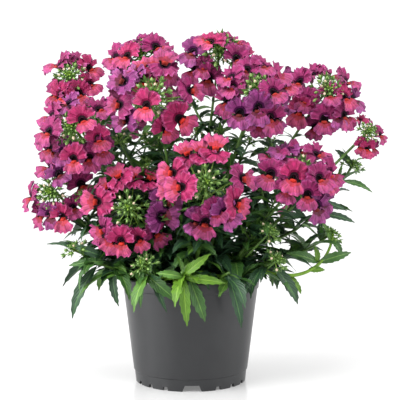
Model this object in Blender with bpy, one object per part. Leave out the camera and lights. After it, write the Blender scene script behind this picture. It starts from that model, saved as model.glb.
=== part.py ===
"""Potted nemesia: a bushy plant with two-lipped flowers, in a grey nursery pot.

Metres, +Z up.  The origin is the middle of the pot's flat underside, and the
side that is seen first looks along +Y, with +X to its right.
"""
import math
import random

import bmesh
import bpy
from mathutils import Matrix, Vector
from mathutils.bvhtree import BVHTree

MM = 0.001
CLEAR = 0.3 * MM            # gap kept where one piece rests on or meets another
WELD = 0.0001 * MM
SEED = 41

# The pot: a thin moulded one of 12 cm, with a band at the rim and a notched foot.
RIM_RADIUS = 60 * MM
POT_HEIGHT = 89 * MM
BAND_HEIGHT = 9.5 * MM
BAND_PROUD = 0.9 * MM
WALL = 1.3 * MM
FOOT_TOP = 10.2 * MM        # height of the small step over the foot
FOOT_STEP = 0.8 * MM
WALL_FOOT_RADIUS = 49.3 * MM
BASE_RADIUS = 47.6 * MM
FLOOR_UNDER = 5.2 * MM      # the floor is carried this high over the table
FLOOR_TOP = 6.8 * MM
HUB_RADIUS = 17 * MM        # the flat boss under the middle of the floor
POT_SEGMENTS = 36
SOIL_SEGMENTS = 24
WIDE_NOTCH_AT = 2.0         # degrees round from the front
WIDE_NOTCH_HEIGHT = 5.0 * MM
WIDE_NOTCH_HALF = (8.3 * MM, 5.8 * MM)   # half width at the table and at its top
SMALL_NOTCH_ANGLES = (27.0, 45.0, 63.0)  # degrees from a wide notch to the next ones
SMALL_NOTCH_HEIGHT = 3.0 * MM
SMALL_NOTCH_HALF = 2.6 * MM
DRAIN_SIZE = (7 * MM, 8 * MM)            # across and along the radius
DRAIN_RADIUS = 39 * MM

# The potting mix fills the pot to a little under its rim.
SOIL_TOP = 79.5 * MM

# Stems
BASE_SHRINK = 0.27          # a stem's foot stands this far out, for one unit of its tip
STEM_BOW = (1.55, 0.8)      # how late a stem leans outwards: a steep one, and a spreading one
LEAN_RANGE = (0.6, 1.4)     # a steep and a spreading stem: distance outwards over height
STEM_RADIUS = (1.9 * MM, 1.15 * MM)      # at the soil and under the flower head
BOUGH_SHARE = 0.13          # the part of a stem that is bare, over the soil
ARM_RADIUS = 1.2 * MM
STEM_SIDES = 4

# Leaves stand in pairs, each pair square to the last.
LEAF_LENGTH = (46 * MM, 26 * MM)         # at the foot and at the top of a leafy stretch
LEAF_WIDTH = 0.32           # of the length
LEAF_ROLL = 40.0            # degrees that a leaf turns about its own length, at most
LEAF_THICK = 0.026
LEAF_WIDEST = 0.42          # how far along the leaf its widest place is
LEAF_RISE = (6.0, 48.0)     # degrees over level where it leaves the stem, foot and top
LEAF_DROOP = (66.0, 34.0)   # degrees that it bends down along its length
INTERNODE = (9.8 * MM, 19.5 * MM)
ROOT_SHIFT = 0.35 * MM      # the root of a leaf stands this far off the middle of its stem
HANG_RISE = (35.0, -20.0)   # the outer leaves of a low shoot, which hang over the rim
HANG_DROOP = (60.0, 75.0)
HANG_LENGTH = 1.2
HANG_SIDE = -0.3            # cosine of the widest turn from straight out at which a leaf hangs
# How a leaf moves aside where another is in its way: turn, rise, share of its length.
LEAF_TRIES = ((0, 0, 1), (0.3, 0.2, 0.95), (-0.3, 0.2, 0.95), (0.6, -0.15, 0.85), (-0.6, -0.15, 0.85),
              (0.2, 0.5, 0.75), (-0.2, 0.5, 0.7))

# Flowers: a fan of four small lobes over one broad lower lip.
FLOWER_SIZE = 12.6 * MM     # from the throat to the tip of a lobe
FLOWER_DEPTH = 9.0 * MM     # from the face back to the end of the tube
THROAT_DEPTH = 0.16         # of the flower's size
TUBE_CORNERS = (102, 222, 342)           # degrees round the three-sided tube
PEDICEL_RADIUS = 0.8 * MM
BUD_LENGTH = 7 * MM
RING_SPREAD = 82.0          # degrees from the head's axis to its outer flowers
FACE_SPREAD = 36.0
STAGGER = 9.0               # every other flower stands this many degrees further out
PEDICEL_FEET = (0.18, 1.05)             # how far under the top pedicels leave the stem, in dome radii
FEET_STEP = 5               # neighbours round the head leave the stem this many places apart
FACING = 0.42               # a flower faces this share of its own spread
LIP_TURN = 0.18             # how far a lip turns to one side of straight out, as a tangent
DOME_FLAT = 0.8             # height of a head's dome over its radius
KNOT_AT = 0.5               # the knot of buds stands this far over the head's middle, in dome radii
SMALL_HEAD = 16             # mm; a head of a smaller dome has smaller flowers and buds
SMALL_SCALE = 0.66

# Each flower head: centre (x, y, z) in mm, the radius of its dome in mm, where its
# axis points (degrees to the right of the viewer, degrees over level), and the
# clock angles of its flowers, first round its edge, then on its face.
HEADS = {
    "left_top": ((-106, 15, 262), 21, (-10, 20), (133, 39, 302, 222, 249, 85), ()),
    "left_middle": ((-93, -35, 211), 29, (-14, 16), (275, 327, 217, 183, 150, 50, 110), (194, 18)),
    "left_low": ((-114, -12, 161), 26, (-20, 8), (104, 19, 189, 232, 296), (60,)),
    "top_left": ((-43, 12, 279), 27, (-6, 18), (178, 22, 63, 118, 273, 334), (204, 23)),
    "upper_left": ((-28, -48, 236), 29, (-4, 14), (152, 188, 318, 16, 75, 112), (253,)),
    "top_middle": ((25, 6, 282), 27, (4, 22), (180, 246, 122, 75, 40, 0), (162, 320)),
    "upper_right": ((54, -36, 242), 28, (8, 16), (149, 195, 230, 19, 77, 46, 292), (263, 332)),
    "right_top": ((115, -2, 246), 30, (12, 20), (157, 356, 303, 66, 28, 214, 260, 110), ()),
    "right_middle": ((88, -46, 172), 29, (12, 20), (175, 298, 5, 111, 51, 136), (208, 270, 328)),
    "middle": ((13, -76, 166), 28, (2, 14), (75, 120, 162, 12, 325, 268, 300), (195,)),
    "middle_left": ((-48, -42, 147), 28, (-6, 12), (111, 64, 168, 217, 258, 318, 345, 12), ()),
    "right_tip": ((151, -5, 212), 15, (20, 24), (110, 265, 352, 40), ()),
    "back_left": ((-110, 80, 226), 27, (215, 24), (20, 78, 136, 196, 258, 318), ()),
    "back_middle": ((14, 102, 172), 28, (180, 22), (8, 66, 124, 182, 240, 300), (30,)),
    "back_right": ((103, 72, 172), 28, (140, 22), (12, 70, 128, 186, 244, 304), ()),
    "back_upper_left": ((-40, 62, 250), 27, (190, 26), (0, 60, 120, 180, 240, 300), ()),
    "back_upper_right": ((64, 55, 253), 27, (165, 26), (30, 88, 146, 206, 266, 326), ()),
    "back_low": ((-64, 88, 149), 26, (205, 18), (24, 84, 144, 204, 264, 324), ()),
}

# Each shoot: the heads that it carries, the share of its height that is leafy, and
# the tips (x, y, z) in mm of side stems that end in buds.
SHOOTS = {
    "left_top": (("left_top", "back_left"), 0.66, ()),
    "left_middle": (("left_middle",), 0.70, ()),
    "left_low": (("left_low",), 0.62, ((-97, -32, 117),)),
    "top_left": (("top_left", "back_upper_left"), 0.66, ()),
    "upper_left": (("upper_left",), 0.66, ((-62, -20, 208),)),
    "top_middle": (("top_middle", "back_upper_right"), 0.68, ()),
    "upper_right": (("upper_right",), 0.70, ()),
    "right_top": (("right_top", "back_right"), 0.66, ((144, 8, 188),)),
    "right_middle": (("right_middle", "right_tip"), 0.60, ((121, -18, 128),)),
    "middle": (("middle",), 0.60, ()),
    "middle_left": (("middle_left",), 0.62, ()),
    "back_middle": (("back_middle", "back_low"), 0.60, ()),
}
FORK_AT = 0.22              # the share of a stem's height where its side stems leave it
NECK_AT = 0.92              # a stem follows its bow up to this share, then runs into its head
SIDE_BOW = (1.2, 1.2)       # how late a side stem rises and runs out, to a head that stands high
LOW_BOW = (2.2, 0.9)        # and to a bud tip or a head low at the side
LOW_SIDE = 0.75             # a side stem that rises less than this, for one unit outwards, is low

# Low shoots round the rim, whose leaves hang over it: degrees round from the front
# (to the right), distance of the foot from the axis, height and reach outwards in mm.
LOW_SHOOTS = {
    "rim_front": (-5, 41, 19, 28),
    "rim_front_left": (-32, 41, 20, 30),
    "rim_left": (-66, 42, 24, 45),
    "rim_front_right": (27, 41, 18, 27),
    "rim_right": (60, 42, 24, 38),
    "rim_far_right": (92, 42, 26, 36),
    "rim_back_right": (123, 41, 30, 34),
    "rim_back": (154, 41, 24, 30),
    "rim_back_middle": (186, 41, 30, 32),
    "rim_back_left": (218, 41, 24, 34),
    "rim_far_left": (262, 42, 28, 38),
}
LOW_SHOOT_BOW = 1.7         # how late a low shoot leans out over the rim


def material(name, colour, roughness):
    """A Principled material with a plain base colour, given as sRGB hex."""
    made = bpy.data.materials.new(name)
    made.use_nodes = True
    channels = [int(colour[i:i + 2], 16) / 255 for i in (1, 3, 5)]
    linear = [c / 12.92 if c <= 0.04045 else ((c + 0.055) / 1.055) ** 2.4 for c in channels]
    shader = made.node_tree.nodes["Principled BSDF"]
    shader.inputs["Base Color"].default_value = (*linear, 1)
    shader.inputs["Roughness"].default_value = roughness
    return made


def add_object(name, verts, faces, finish, smooth=False):
    """A mesh object in the scene, at the origin."""
    mesh = bpy.data.meshes.new(name)
    mesh.from_pydata([tuple(v) for v in verts], [], faces)
    mesh.materials.append(finish)
    if smooth:
        mesh.shade_smooth()
    made = bpy.data.objects.new(name, mesh)
    bpy.context.scene.collection.objects.link(made)
    return made


def turned(profile, segments):
    """A closed body of revolution from (radius, height) points, outside first."""
    verts = []
    rings = []
    for radius, height in profile:
        if radius == 0:
            rings.append([len(verts)])
            verts.append(Vector((0, 0, height)))
            continue
        rings.append(list(range(len(verts), len(verts) + segments)))
        for i in range(segments):
            angle = math.tau * i / segments
            verts.append(Vector((radius * math.cos(angle), radius * math.sin(angle), height)))
    faces = []
    for low, high in zip(rings, rings[1:] + rings[:1]):
        if len(low) == 1 and len(high) == 1:
            continue
        for i in range(segments):
            j = (i + 1) % segments
            if len(low) == 1:
                faces.append((low[0], high[j], high[i]))
            elif len(high) == 1:
                faces.append((low[i], low[j], high[0]))
            else:
                faces.append((low[i], low[j], high[j], high[i]))
    return verts, faces


def wall_radius(height):
    """The pot's outer radius where its wall is plain."""
    band_foot = POT_HEIGHT - BAND_HEIGHT
    share = (height - FOOT_TOP) / (band_foot - FOOT_TOP)
    return WALL_FOOT_RADIUS + share * (RIM_RADIUS - 2 * BAND_PROUD - WALL_FOOT_RADIUS)


def pot_profile():
    """The pot's section, from the foot up its outside and down its inside."""
    band_foot = POT_HEIGHT - BAND_HEIGHT
    return [
        (BASE_RADIUS, 0),
        (WALL_FOOT_RADIUS - FOOT_STEP, FOOT_TOP - 0.5 * MM),
        (WALL_FOOT_RADIUS, FOOT_TOP),
        (wall_radius(band_foot), band_foot),
        (wall_radius(band_foot) + BAND_PROUD, band_foot + 0.4 * MM),
        (RIM_RADIUS, POT_HEIGHT - 1.2 * MM),
        (RIM_RADIUS - 0.6 * MM, POT_HEIGHT),
        (RIM_RADIUS - 1.8 * MM, POT_HEIGHT),
        (wall_radius(band_foot) - WALL, band_foot - 1.0 * MM),
        (wall_radius(FOOT_TOP) - WALL, FOOT_TOP),
        (BASE_RADIUS - WALL, FLOOR_TOP),
        (0, FLOOR_TOP),
        (0, 0),
        (HUB_RADIUS, 0),
        (HUB_RADIUS, FLOOR_UNDER),
        (BASE_RADIUS - 2.2 * MM, FLOOR_UNDER),
        (BASE_RADIUS - 2.2 * MM, 0),
    ]


def notch_cutter(angle, half_low, half_high, height):
    """A trapezoid bar that cuts a notch through the foot, at an angle from the front."""
    inner, outer = BASE_RADIUS - 6 * MM, BASE_RADIUS + 6 * MM
    verts = []
    for radius in (inner, outer):
        for across, level in ((-half_low, -MM), (half_low, -MM), (half_high, height), (-half_high, height)):
            verts.append(Vector((across, -radius, level)))
    turn = Matrix.Rotation(math.radians(angle), 4, "Z")
    faces = [(3, 2, 1, 0), (4, 5, 6, 7), (0, 1, 5, 4), (1, 2, 6, 5), (2, 3, 7, 6), (3, 0, 4, 7)]
    return [turn @ v for v in verts], faces


def drain_cutter(angle):
    """A block that cuts a drain hole through the floor, just inside a wide notch."""
    across, along = DRAIN_SIZE
    verts = []
    for radius in (DRAIN_RADIUS - along / 2, DRAIN_RADIUS + along / 2):
        for x, z in ((-1, -MM), (1, -MM), (1, FLOOR_TOP + MM), (-1, FLOOR_TOP + MM)):
            verts.append(Vector((x * across / 2, -radius, z)))
    turn = Matrix.Rotation(math.radians(angle), 4, "Z")
    faces = [(3, 2, 1, 0), (4, 5, 6, 7), (0, 1, 5, 4), (1, 2, 6, 5), (2, 3, 7, 6), (3, 0, 4, 7)]
    return [turn @ v for v in verts], faces


def boolean(target, solids, operation, finish, solver="EXACT"):
    """Join the solids to the target, or cut them from it, in one Boolean on a collection."""
    group = bpy.data.collections.new("solids of " + target.name)
    bpy.context.scene.collection.children.link(group)
    for i, (verts, faces) in enumerate(solids):
        helper = add_object(f"{target.name} solid {i}", verts, faces, finish)
        bpy.context.scene.collection.objects.unlink(helper)
        group.objects.link(helper)
    modifier = target.modifiers.new("joined", "BOOLEAN")
    modifier.operation = operation
    modifier.operand_type = "COLLECTION"
    modifier.collection = group
    modifier.solver = solver
    bpy.context.view_layer.update()
    evaluated = target.evaluated_get(bpy.context.evaluated_depsgraph_get())
    mesh = bpy.data.meshes.new_from_object(evaluated)
    target.modifiers.clear()
    target.data = mesh
    for helper in list(group.objects):
        bpy.data.objects.remove(helper)
    bpy.data.collections.remove(group)


def keep_main_body(target):
    """Weld the mesh, drop loose scraps and the shells of sealed hollows; true if it is closed."""
    shape = bmesh.new()
    shape.from_mesh(target.data)
    bmesh.ops.remove_doubles(shape, verts=shape.verts, dist=WELD)
    shape.faces.index_update()
    seen = set()
    bodies = []
    for start in shape.faces:
        if start.index in seen:
            continue
        seen.add(start.index)
        body = [start]
        for face in body:
            for edge in face.edges:
                for other in edge.link_faces:
                    if other.index not in seen:
                        seen.add(other.index)
                        body.append(other)
        bodies.append(body)
    bodies.sort(key=len)
    scraps = [face for body in bodies[:-1] for face in body]
    bmesh.ops.delete(shape, geom=scraps, context="FACES")
    spare = [vert for vert in shape.verts if len(vert.link_edges) == 2]
    bmesh.ops.dissolve_verts(shape, verts=spare)
    bmesh.ops.triangulate(shape, faces=shape.faces)
    closed = all(len(edge.link_faces) == 2 for edge in shape.edges)
    shape.to_mesh(target.data)
    shape.free()
    return closed


def fused(name, solids, finish):
    """One closed body from overlapping solids, by the solver that can join them."""
    for solver in ("EXACT", "MANIFOLD"):
        built = add_object(name, *solids[0], finish)
        if len(solids) > 1:
            boolean(built, solids[1:], "UNION", finish, solver)
        if keep_main_body(built):
            return built
        print(name, "is open after", solver)
        if solver == "EXACT":
            bpy.data.objects.remove(built)
    return built


def frame_of(direction):
    """Two unit vectors square to a direction and to each other."""
    side = direction.cross(Vector((0, 0, 1)))
    if side.length < 1e-4:
        side = Vector((1, 0, 0))
    side.normalize()
    return side, side.cross(direction).normalized()


def limb(points, radii, sides, level_foot=False):
    """A tapering limb along points, closed with flat ends, the first one level if asked."""
    verts = []
    across, _ = frame_of((points[-1] - points[0]).normalized())
    for i, point in enumerate(points):
        ahead = points[min(i + 1, len(points) - 1)]
        behind = points[max(i - 1, 0)]
        along = (ahead - behind).normalized()
        if level_foot and i == 0:
            along = Vector((0, 0, 1))
        across = (across - across.dot(along) * along).normalized()
        up = across.cross(along)
        for k in range(sides):
            angle = math.tau * k / sides
            verts.append(point + radii[i] * (math.cos(angle) * across + math.sin(angle) * up))
    faces = []
    for i in range(len(points) - 1):
        for k in range(sides):
            j = (k + 1) % sides
            low, high = i * sides, (i + 1) * sides
            faces.append((low + k, low + j, high + j, high + k))
    faces.append(tuple(reversed(range(sides))))
    faces.append(tuple(range((len(points) - 1) * sides, len(points) * sides)))
    return verts, faces


def outward(solid):
    """The solid with its faces turned to point out."""
    verts, faces = solid
    middle = sum(verts, Vector()) / len(verts)
    volume = 0
    for face in faces:
        first = verts[face[0]] - middle
        for a, b in zip(face[1:], face[2:]):
            volume += first.dot((verts[a] - middle).cross(verts[b] - middle))
    if volume < 0:
        faces = [tuple(reversed(face)) for face in faces]
    return verts, faces


def swollen(solid, by):
    """A tree of the solid's faces, moved outwards, for tests of what it would touch."""
    verts, faces = solid
    normals = [Vector() for _ in verts]
    for face in faces:
        a, b, c = (verts[i] for i in face[:3])
        normal = (b - a).cross(c - a)
        if normal.length > 0:
            normal.normalize()
        for i in face:
            normals[i] += normal
    moved = []
    for vert, normal in zip(verts, normals):
        moved.append(vert + by * normal.normalized() if normal.length > 0 else vert)
    return BVHTree.FromPolygons(moved, faces)


class Space:
    """Keeps every solid that is placed, so that no node reaches into another."""

    def __init__(self):
        self.kept = []

    def is_free(self, solid, owner, gap=CLEAR):
        verts, _ = solid
        low = [min(v[i] for v in verts) - gap for i in range(3)]
        high = [max(v[i] for v in verts) + gap for i in range(3)]
        tree = None
        for name, other_low, other_high, other in self.kept:
            if name == owner:
                continue
            if any(low[i] > other_high[i] or high[i] < other_low[i] for i in range(3)):
                continue
            if tree is None:
                tree = swollen(solid, gap)
            if tree.overlap(other):
                if gap < CLEAR:
                    print("  meets", name)
                return False
        return True

    def keep(self, solid, owner):
        verts, faces = solid
        low = [min(v[i] for v in verts) for i in range(3)]
        high = [max(v[i] for v in verts) for i in range(3)]
        self.kept.append((owner, low, high, BVHTree.FromPolygons(verts, faces)))


def stem_point(tip, share):
    """A point on the stem that rises from the soil to a tip, at a share of its height."""
    foot = Vector((tip.x * BASE_SHRINK, tip.y * BASE_SHRINK, SOIL_TOP + CLEAR))
    lean = math.hypot(tip.x, tip.y) / (tip.z - foot.z)
    spreading = (lean - LEAN_RANGE[0]) / (LEAN_RANGE[1] - LEAN_RANGE[0])
    out = share ** mix(STEM_BOW, min(max(spreading, 0), 1))
    return Vector((
        foot.x + (tip.x - foot.x) * out,
        foot.y + (tip.y - foot.y) * out,
        foot.z + (tip.z - foot.z) * share,
    ))


def side_stem_point(main_tip, tip, share, bow):
    """A point on a side stem, which leaves the main stem low down, runs out and bows up."""
    start = stem_point(main_tip, FORK_AT)
    rise = share ** bow[0]
    out = share ** bow[1]
    return Vector((
        start.x + (tip.x - start.x) * out,
        start.y + (tip.y - start.y) * out,
        start.z + (tip.z - start.z) * rise,
    ))


def side_bow(main_tip, tip):
    """How a side stem bows: late outwards to a high tip, late upwards to a low one."""
    way = tip - stem_point(main_tip, FORK_AT)
    return LOW_BOW if way.z < LOW_SIDE * math.hypot(way.x, way.y) else SIDE_BOW


def aim(turn, rise):
    """The direction that lies so far to the viewer's right and so far over level."""
    turn, rise = math.radians(turn), math.radians(rise)
    return Vector((math.sin(turn) * math.cos(rise), -math.cos(turn) * math.cos(rise), math.sin(rise)))


def leaf(root, turn, rise, droop, length, roll):
    """A leaf of eight faces that bends down, from its root to its tip."""
    level = Vector((math.sin(turn), -math.cos(turn), 0))
    across = Vector((math.cos(turn), math.sin(turn), 0))

    def along(share):
        """The point of the leaf's middle line at a share of its length."""
        point = Vector(root)
        steps = 6
        for i in range(steps):
            angle = rise - droop * share * (i + 0.5) / steps
            step = length * share / steps
            point += step * (math.cos(angle) * level + Vector((0, 0, math.sin(angle))))
        return point

    middle, tip = along(LEAF_WIDEST), along(1)
    bend = rise - droop * LEAF_WIDEST
    normal = -math.sin(bend) * level + Vector((0, 0, math.cos(bend)))
    across, normal = (
        math.cos(roll) * across + math.sin(roll) * normal,
        math.cos(roll) * normal - math.sin(roll) * across,
    )
    half, thick = LEAF_WIDTH * length / 2, LEAF_THICK * length / 2
    verts = [Vector(root), middle + across * half, tip, middle - across * half,
             middle + normal * thick, middle - normal * thick]
    faces = [(0, 1, 4), (1, 2, 4), (2, 3, 4), (3, 0, 4), (1, 0, 5), (2, 1, 5), (3, 2, 5), (0, 3, 5)]
    return outward((verts, faces))


def mix(pair, share):
    """The value between a pair of values, at a share of the way."""
    return pair[0] + (pair[1] - pair[0]) * share


def leaf_pairs(points, rng, size=1.0, apart=1.0, out_turn=None):
    """Where leaves stand along a stem: pairs, each square to the last.

    On a low shoot, which leans out at out_turn, the outer leaves hang over the rim.

    Gives (root, turn, rise, droop, length, roll) for each leaf, in order up the stem.
    """
    lengths = [(b - a).length for a, b in zip(points, points[1:])]
    total = sum(lengths)
    turn = rng.uniform(0, math.tau) if out_turn is None else out_turn
    distance = 3 * MM
    while distance < total - MM:
        share = distance / total
        walked = distance
        root = points[-1]
        for a, b, step in zip(points, points[1:], lengths):
            if walked <= step:
                root = a.lerp(b, walked / step)
                break
            walked -= step
        for side in (0, math.pi):
            length = size * mix(LEAF_LENGTH, share) * rng.uniform(0.85, 1.1)
            rise = math.radians(mix(LEAF_RISE, share) + rng.uniform(-9, 9))
            droop = math.radians(mix(LEAF_DROOP, share) + rng.uniform(-12, 12))
            turned = turn + side + rng.uniform(-0.2, 0.2)
            level = Vector((math.sin(turned), -math.cos(turned), 0))
            roll = math.radians(rng.uniform(-LEAF_ROLL, LEAF_ROLL))
            if out_turn is not None and math.cos(turned - out_turn) > HANG_SIDE:
                rise = math.radians(mix(HANG_RISE, share))
                droop = math.radians(mix(HANG_DROOP, share)) * rng.uniform(0.85, 1.1)
                length *= HANG_LENGTH
                roll *= 0.4
            yield root + ROOT_SHIFT * level, turned, rise, droop, length, roll
        turn += math.pi / 2
        distance += apart * mix(INTERNODE, share) * rng.uniform(0.9, 1.1)


def flower_outline():
    """(angle, reach, lean) round a flower: four upper lobes, then the broad lower lip."""
    lobes = [(30, 0.97, -0.16), (68, 1.0, -0.2), (112, 1.0, -0.2), (150, 0.97, -0.16)]
    lip = [(213, 0.86, 0), (270, 1.14, 0.06), (327, 0.86, 0)]
    notch = 0.46
    return lobes + [(176, notch, 0)] + lip + [(4, notch, 0)]


def flower(centre, facing, lip, size, foot):
    """A two-lipped flower as a shallow solid funnel, on a three-sided pedicel from its foot."""
    up = -lip
    right = up.cross(facing)
    verts = []
    outline = flower_outline()
    for angle, reach, lean in outline:
        angle = math.radians(angle)
        flat = math.cos(angle) * right + math.sin(angle) * up
        verts.append(centre + size * (reach * flat + lean * facing))
    count = len(outline)
    throat = count
    verts.append(centre - THROAT_DEPTH * size * facing)
    tube_end = centre - FLOWER_DEPTH * facing * size / FLOWER_SIZE
    away = (foot - tube_end).normalized()
    for end, radius, along in ((tube_end, 1.5, (away - facing).normalized()), (foot, 1.0, away)):
        tilt = (-facing).rotation_difference(along)
        for corner in TUBE_CORNERS:
            angle = math.radians(corner)
            flat = math.cos(angle) * right + math.sin(angle) * up
            verts.append(end + PEDICEL_RADIUS * radius * (tilt @ flat))
    tube = [throat + 1 + k for k in range(3)]
    low = [throat + 4 + k for k in range(3)]
    faces = []
    for i in range(count):
        j = (i + 1) % count
        near_i, near_j = nearest_corner(outline[i][0]), nearest_corner(outline[j][0])
        faces.append((i, j, throat))
        faces.append((j, i, tube[near_i]))
        if near_i != near_j:
            faces.append((j, tube[near_i], tube[near_j]))
    for k in range(3):
        n = (k + 1) % 3
        faces.append((tube[n], tube[k], low[k], low[n]))
    faces.append(tuple(reversed(low)))
    return outward((verts, faces))


def nearest_corner(angle):
    """The corner of the three-sided tube that lies nearest to an angle round the flower."""
    def apart(k):
        return abs((angle - TUBE_CORNERS[k] + 180) % 360 - 180)
    return min(range(3), key=apart)


def bud(root, direction, length):
    """A pointed bud of eight faces."""
    across, up = frame_of(direction)
    middle = root + direction * length * 0.55
    half = length * 0.26
    verts = [root, middle + across * half, middle + up * half, middle - across * half,
             middle - up * half, root + direction * length]
    faces = [(0, 1, 2), (0, 2, 3), (0, 3, 4), (0, 4, 1), (5, 2, 1), (5, 3, 2), (5, 4, 3), (5, 1, 4)]
    return outward((verts, faces))


def bud_cluster(middle, axis, length, count=2):
    """A knot of buds: one ahead, the others spread round it."""
    across, up = frame_of(axis)
    yield bud(middle - axis * length * 0.3, axis, length * 1.3)
    for i in range(count):
        angle = math.tau * i / count
        spread = (math.cos(angle) * across + math.sin(angle) * up) * 0.85 + axis * 0.55
        yield bud(middle - axis * length * 0.22, spread.normalized(), length)


def walked(points, distance):
    """The point of a limb's middle line at a distance from its first point."""
    for a, b in zip(points, points[1:]):
        step = (b - a).length
        if distance <= step:
            return a.lerp(b, distance / step)
        distance -= step
    return points[-1].copy()


def flower_places(name, stem):
    """(centre, facing, lip direction, foot of pedicel) for each flower of a head."""
    place, radius, pointing, ring, face = HEADS[name]
    centre = Vector(place) * MM
    dome = radius * MM
    axis = aim(*pointing)
    left, up = frame_of(axis)
    rows = [(angle, RING_SPREAD) for angle in ring] + [(angle, FACE_SPREAD) for angle in face]
    for i, (clock, spread) in enumerate(rows):
        spread = math.radians(spread + (STAGGER if i % 2 else -STAGGER))
        clock = math.radians(clock)
        out = math.sin(clock) * up - math.cos(clock) * left
        spot = centre + dome * (math.sin(spread) * out + DOME_FLAT * math.cos(spread) * axis)
        facing = math.sin(FACING * spread) * out + math.cos(FACING * spread) * axis
        facing.normalize()
        lip = out - out.dot(facing) * facing + (LIP_TURN if i % 2 else -LIP_TURN) * out.cross(facing)
        below = dome * mix(PEDICEL_FEET, (i * FEET_STEP % len(rows)) / len(rows))
        foot = walked(stem[::-1], below)
        yield spot, facing, lip.normalized(), foot


def head_stem(name, stem_points):
    """The middle line of a head's own stem, from its shoot to its knot of buds."""
    place, radius, pointing, _, _ = HEADS[name]
    centre = Vector(place) * MM
    return list(stem_points) + [centre, centre + aim(*pointing) * radius * MM * KNOT_AT]


def head_solids(name, points):
    """The buds and flowers of a head, on the stem whose middle line is given."""
    _, radius, pointing, _, _ = HEADS[name]
    scale = SMALL_SCALE if radius < SMALL_HEAD else 1.0
    for one in bud_cluster(points[-1], aim(*pointing), BUD_LENGTH * scale):
        yield one
    for spot, facing, lip, foot in flower_places(name, points):
        yield flower(spot, facing, lip, FLOWER_SIZE * scale, foot)


def head_centre(name):
    """The middle of a flower head, which its stem runs up to."""
    return Vector(HEADS[name][0]) * MM


def stem_shares(low, high, count):
    """Evenly spaced shares of a stem, both ends included."""
    return [low + (high - low) * i / (count - 1) for i in range(count)]


def shift_along(points, by):
    """The same limb, started a little further along, to stay clear of the one before."""
    ahead = (points[1] - points[0]).normalized()
    return [points[0] + by * ahead] + points[1:]


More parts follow.
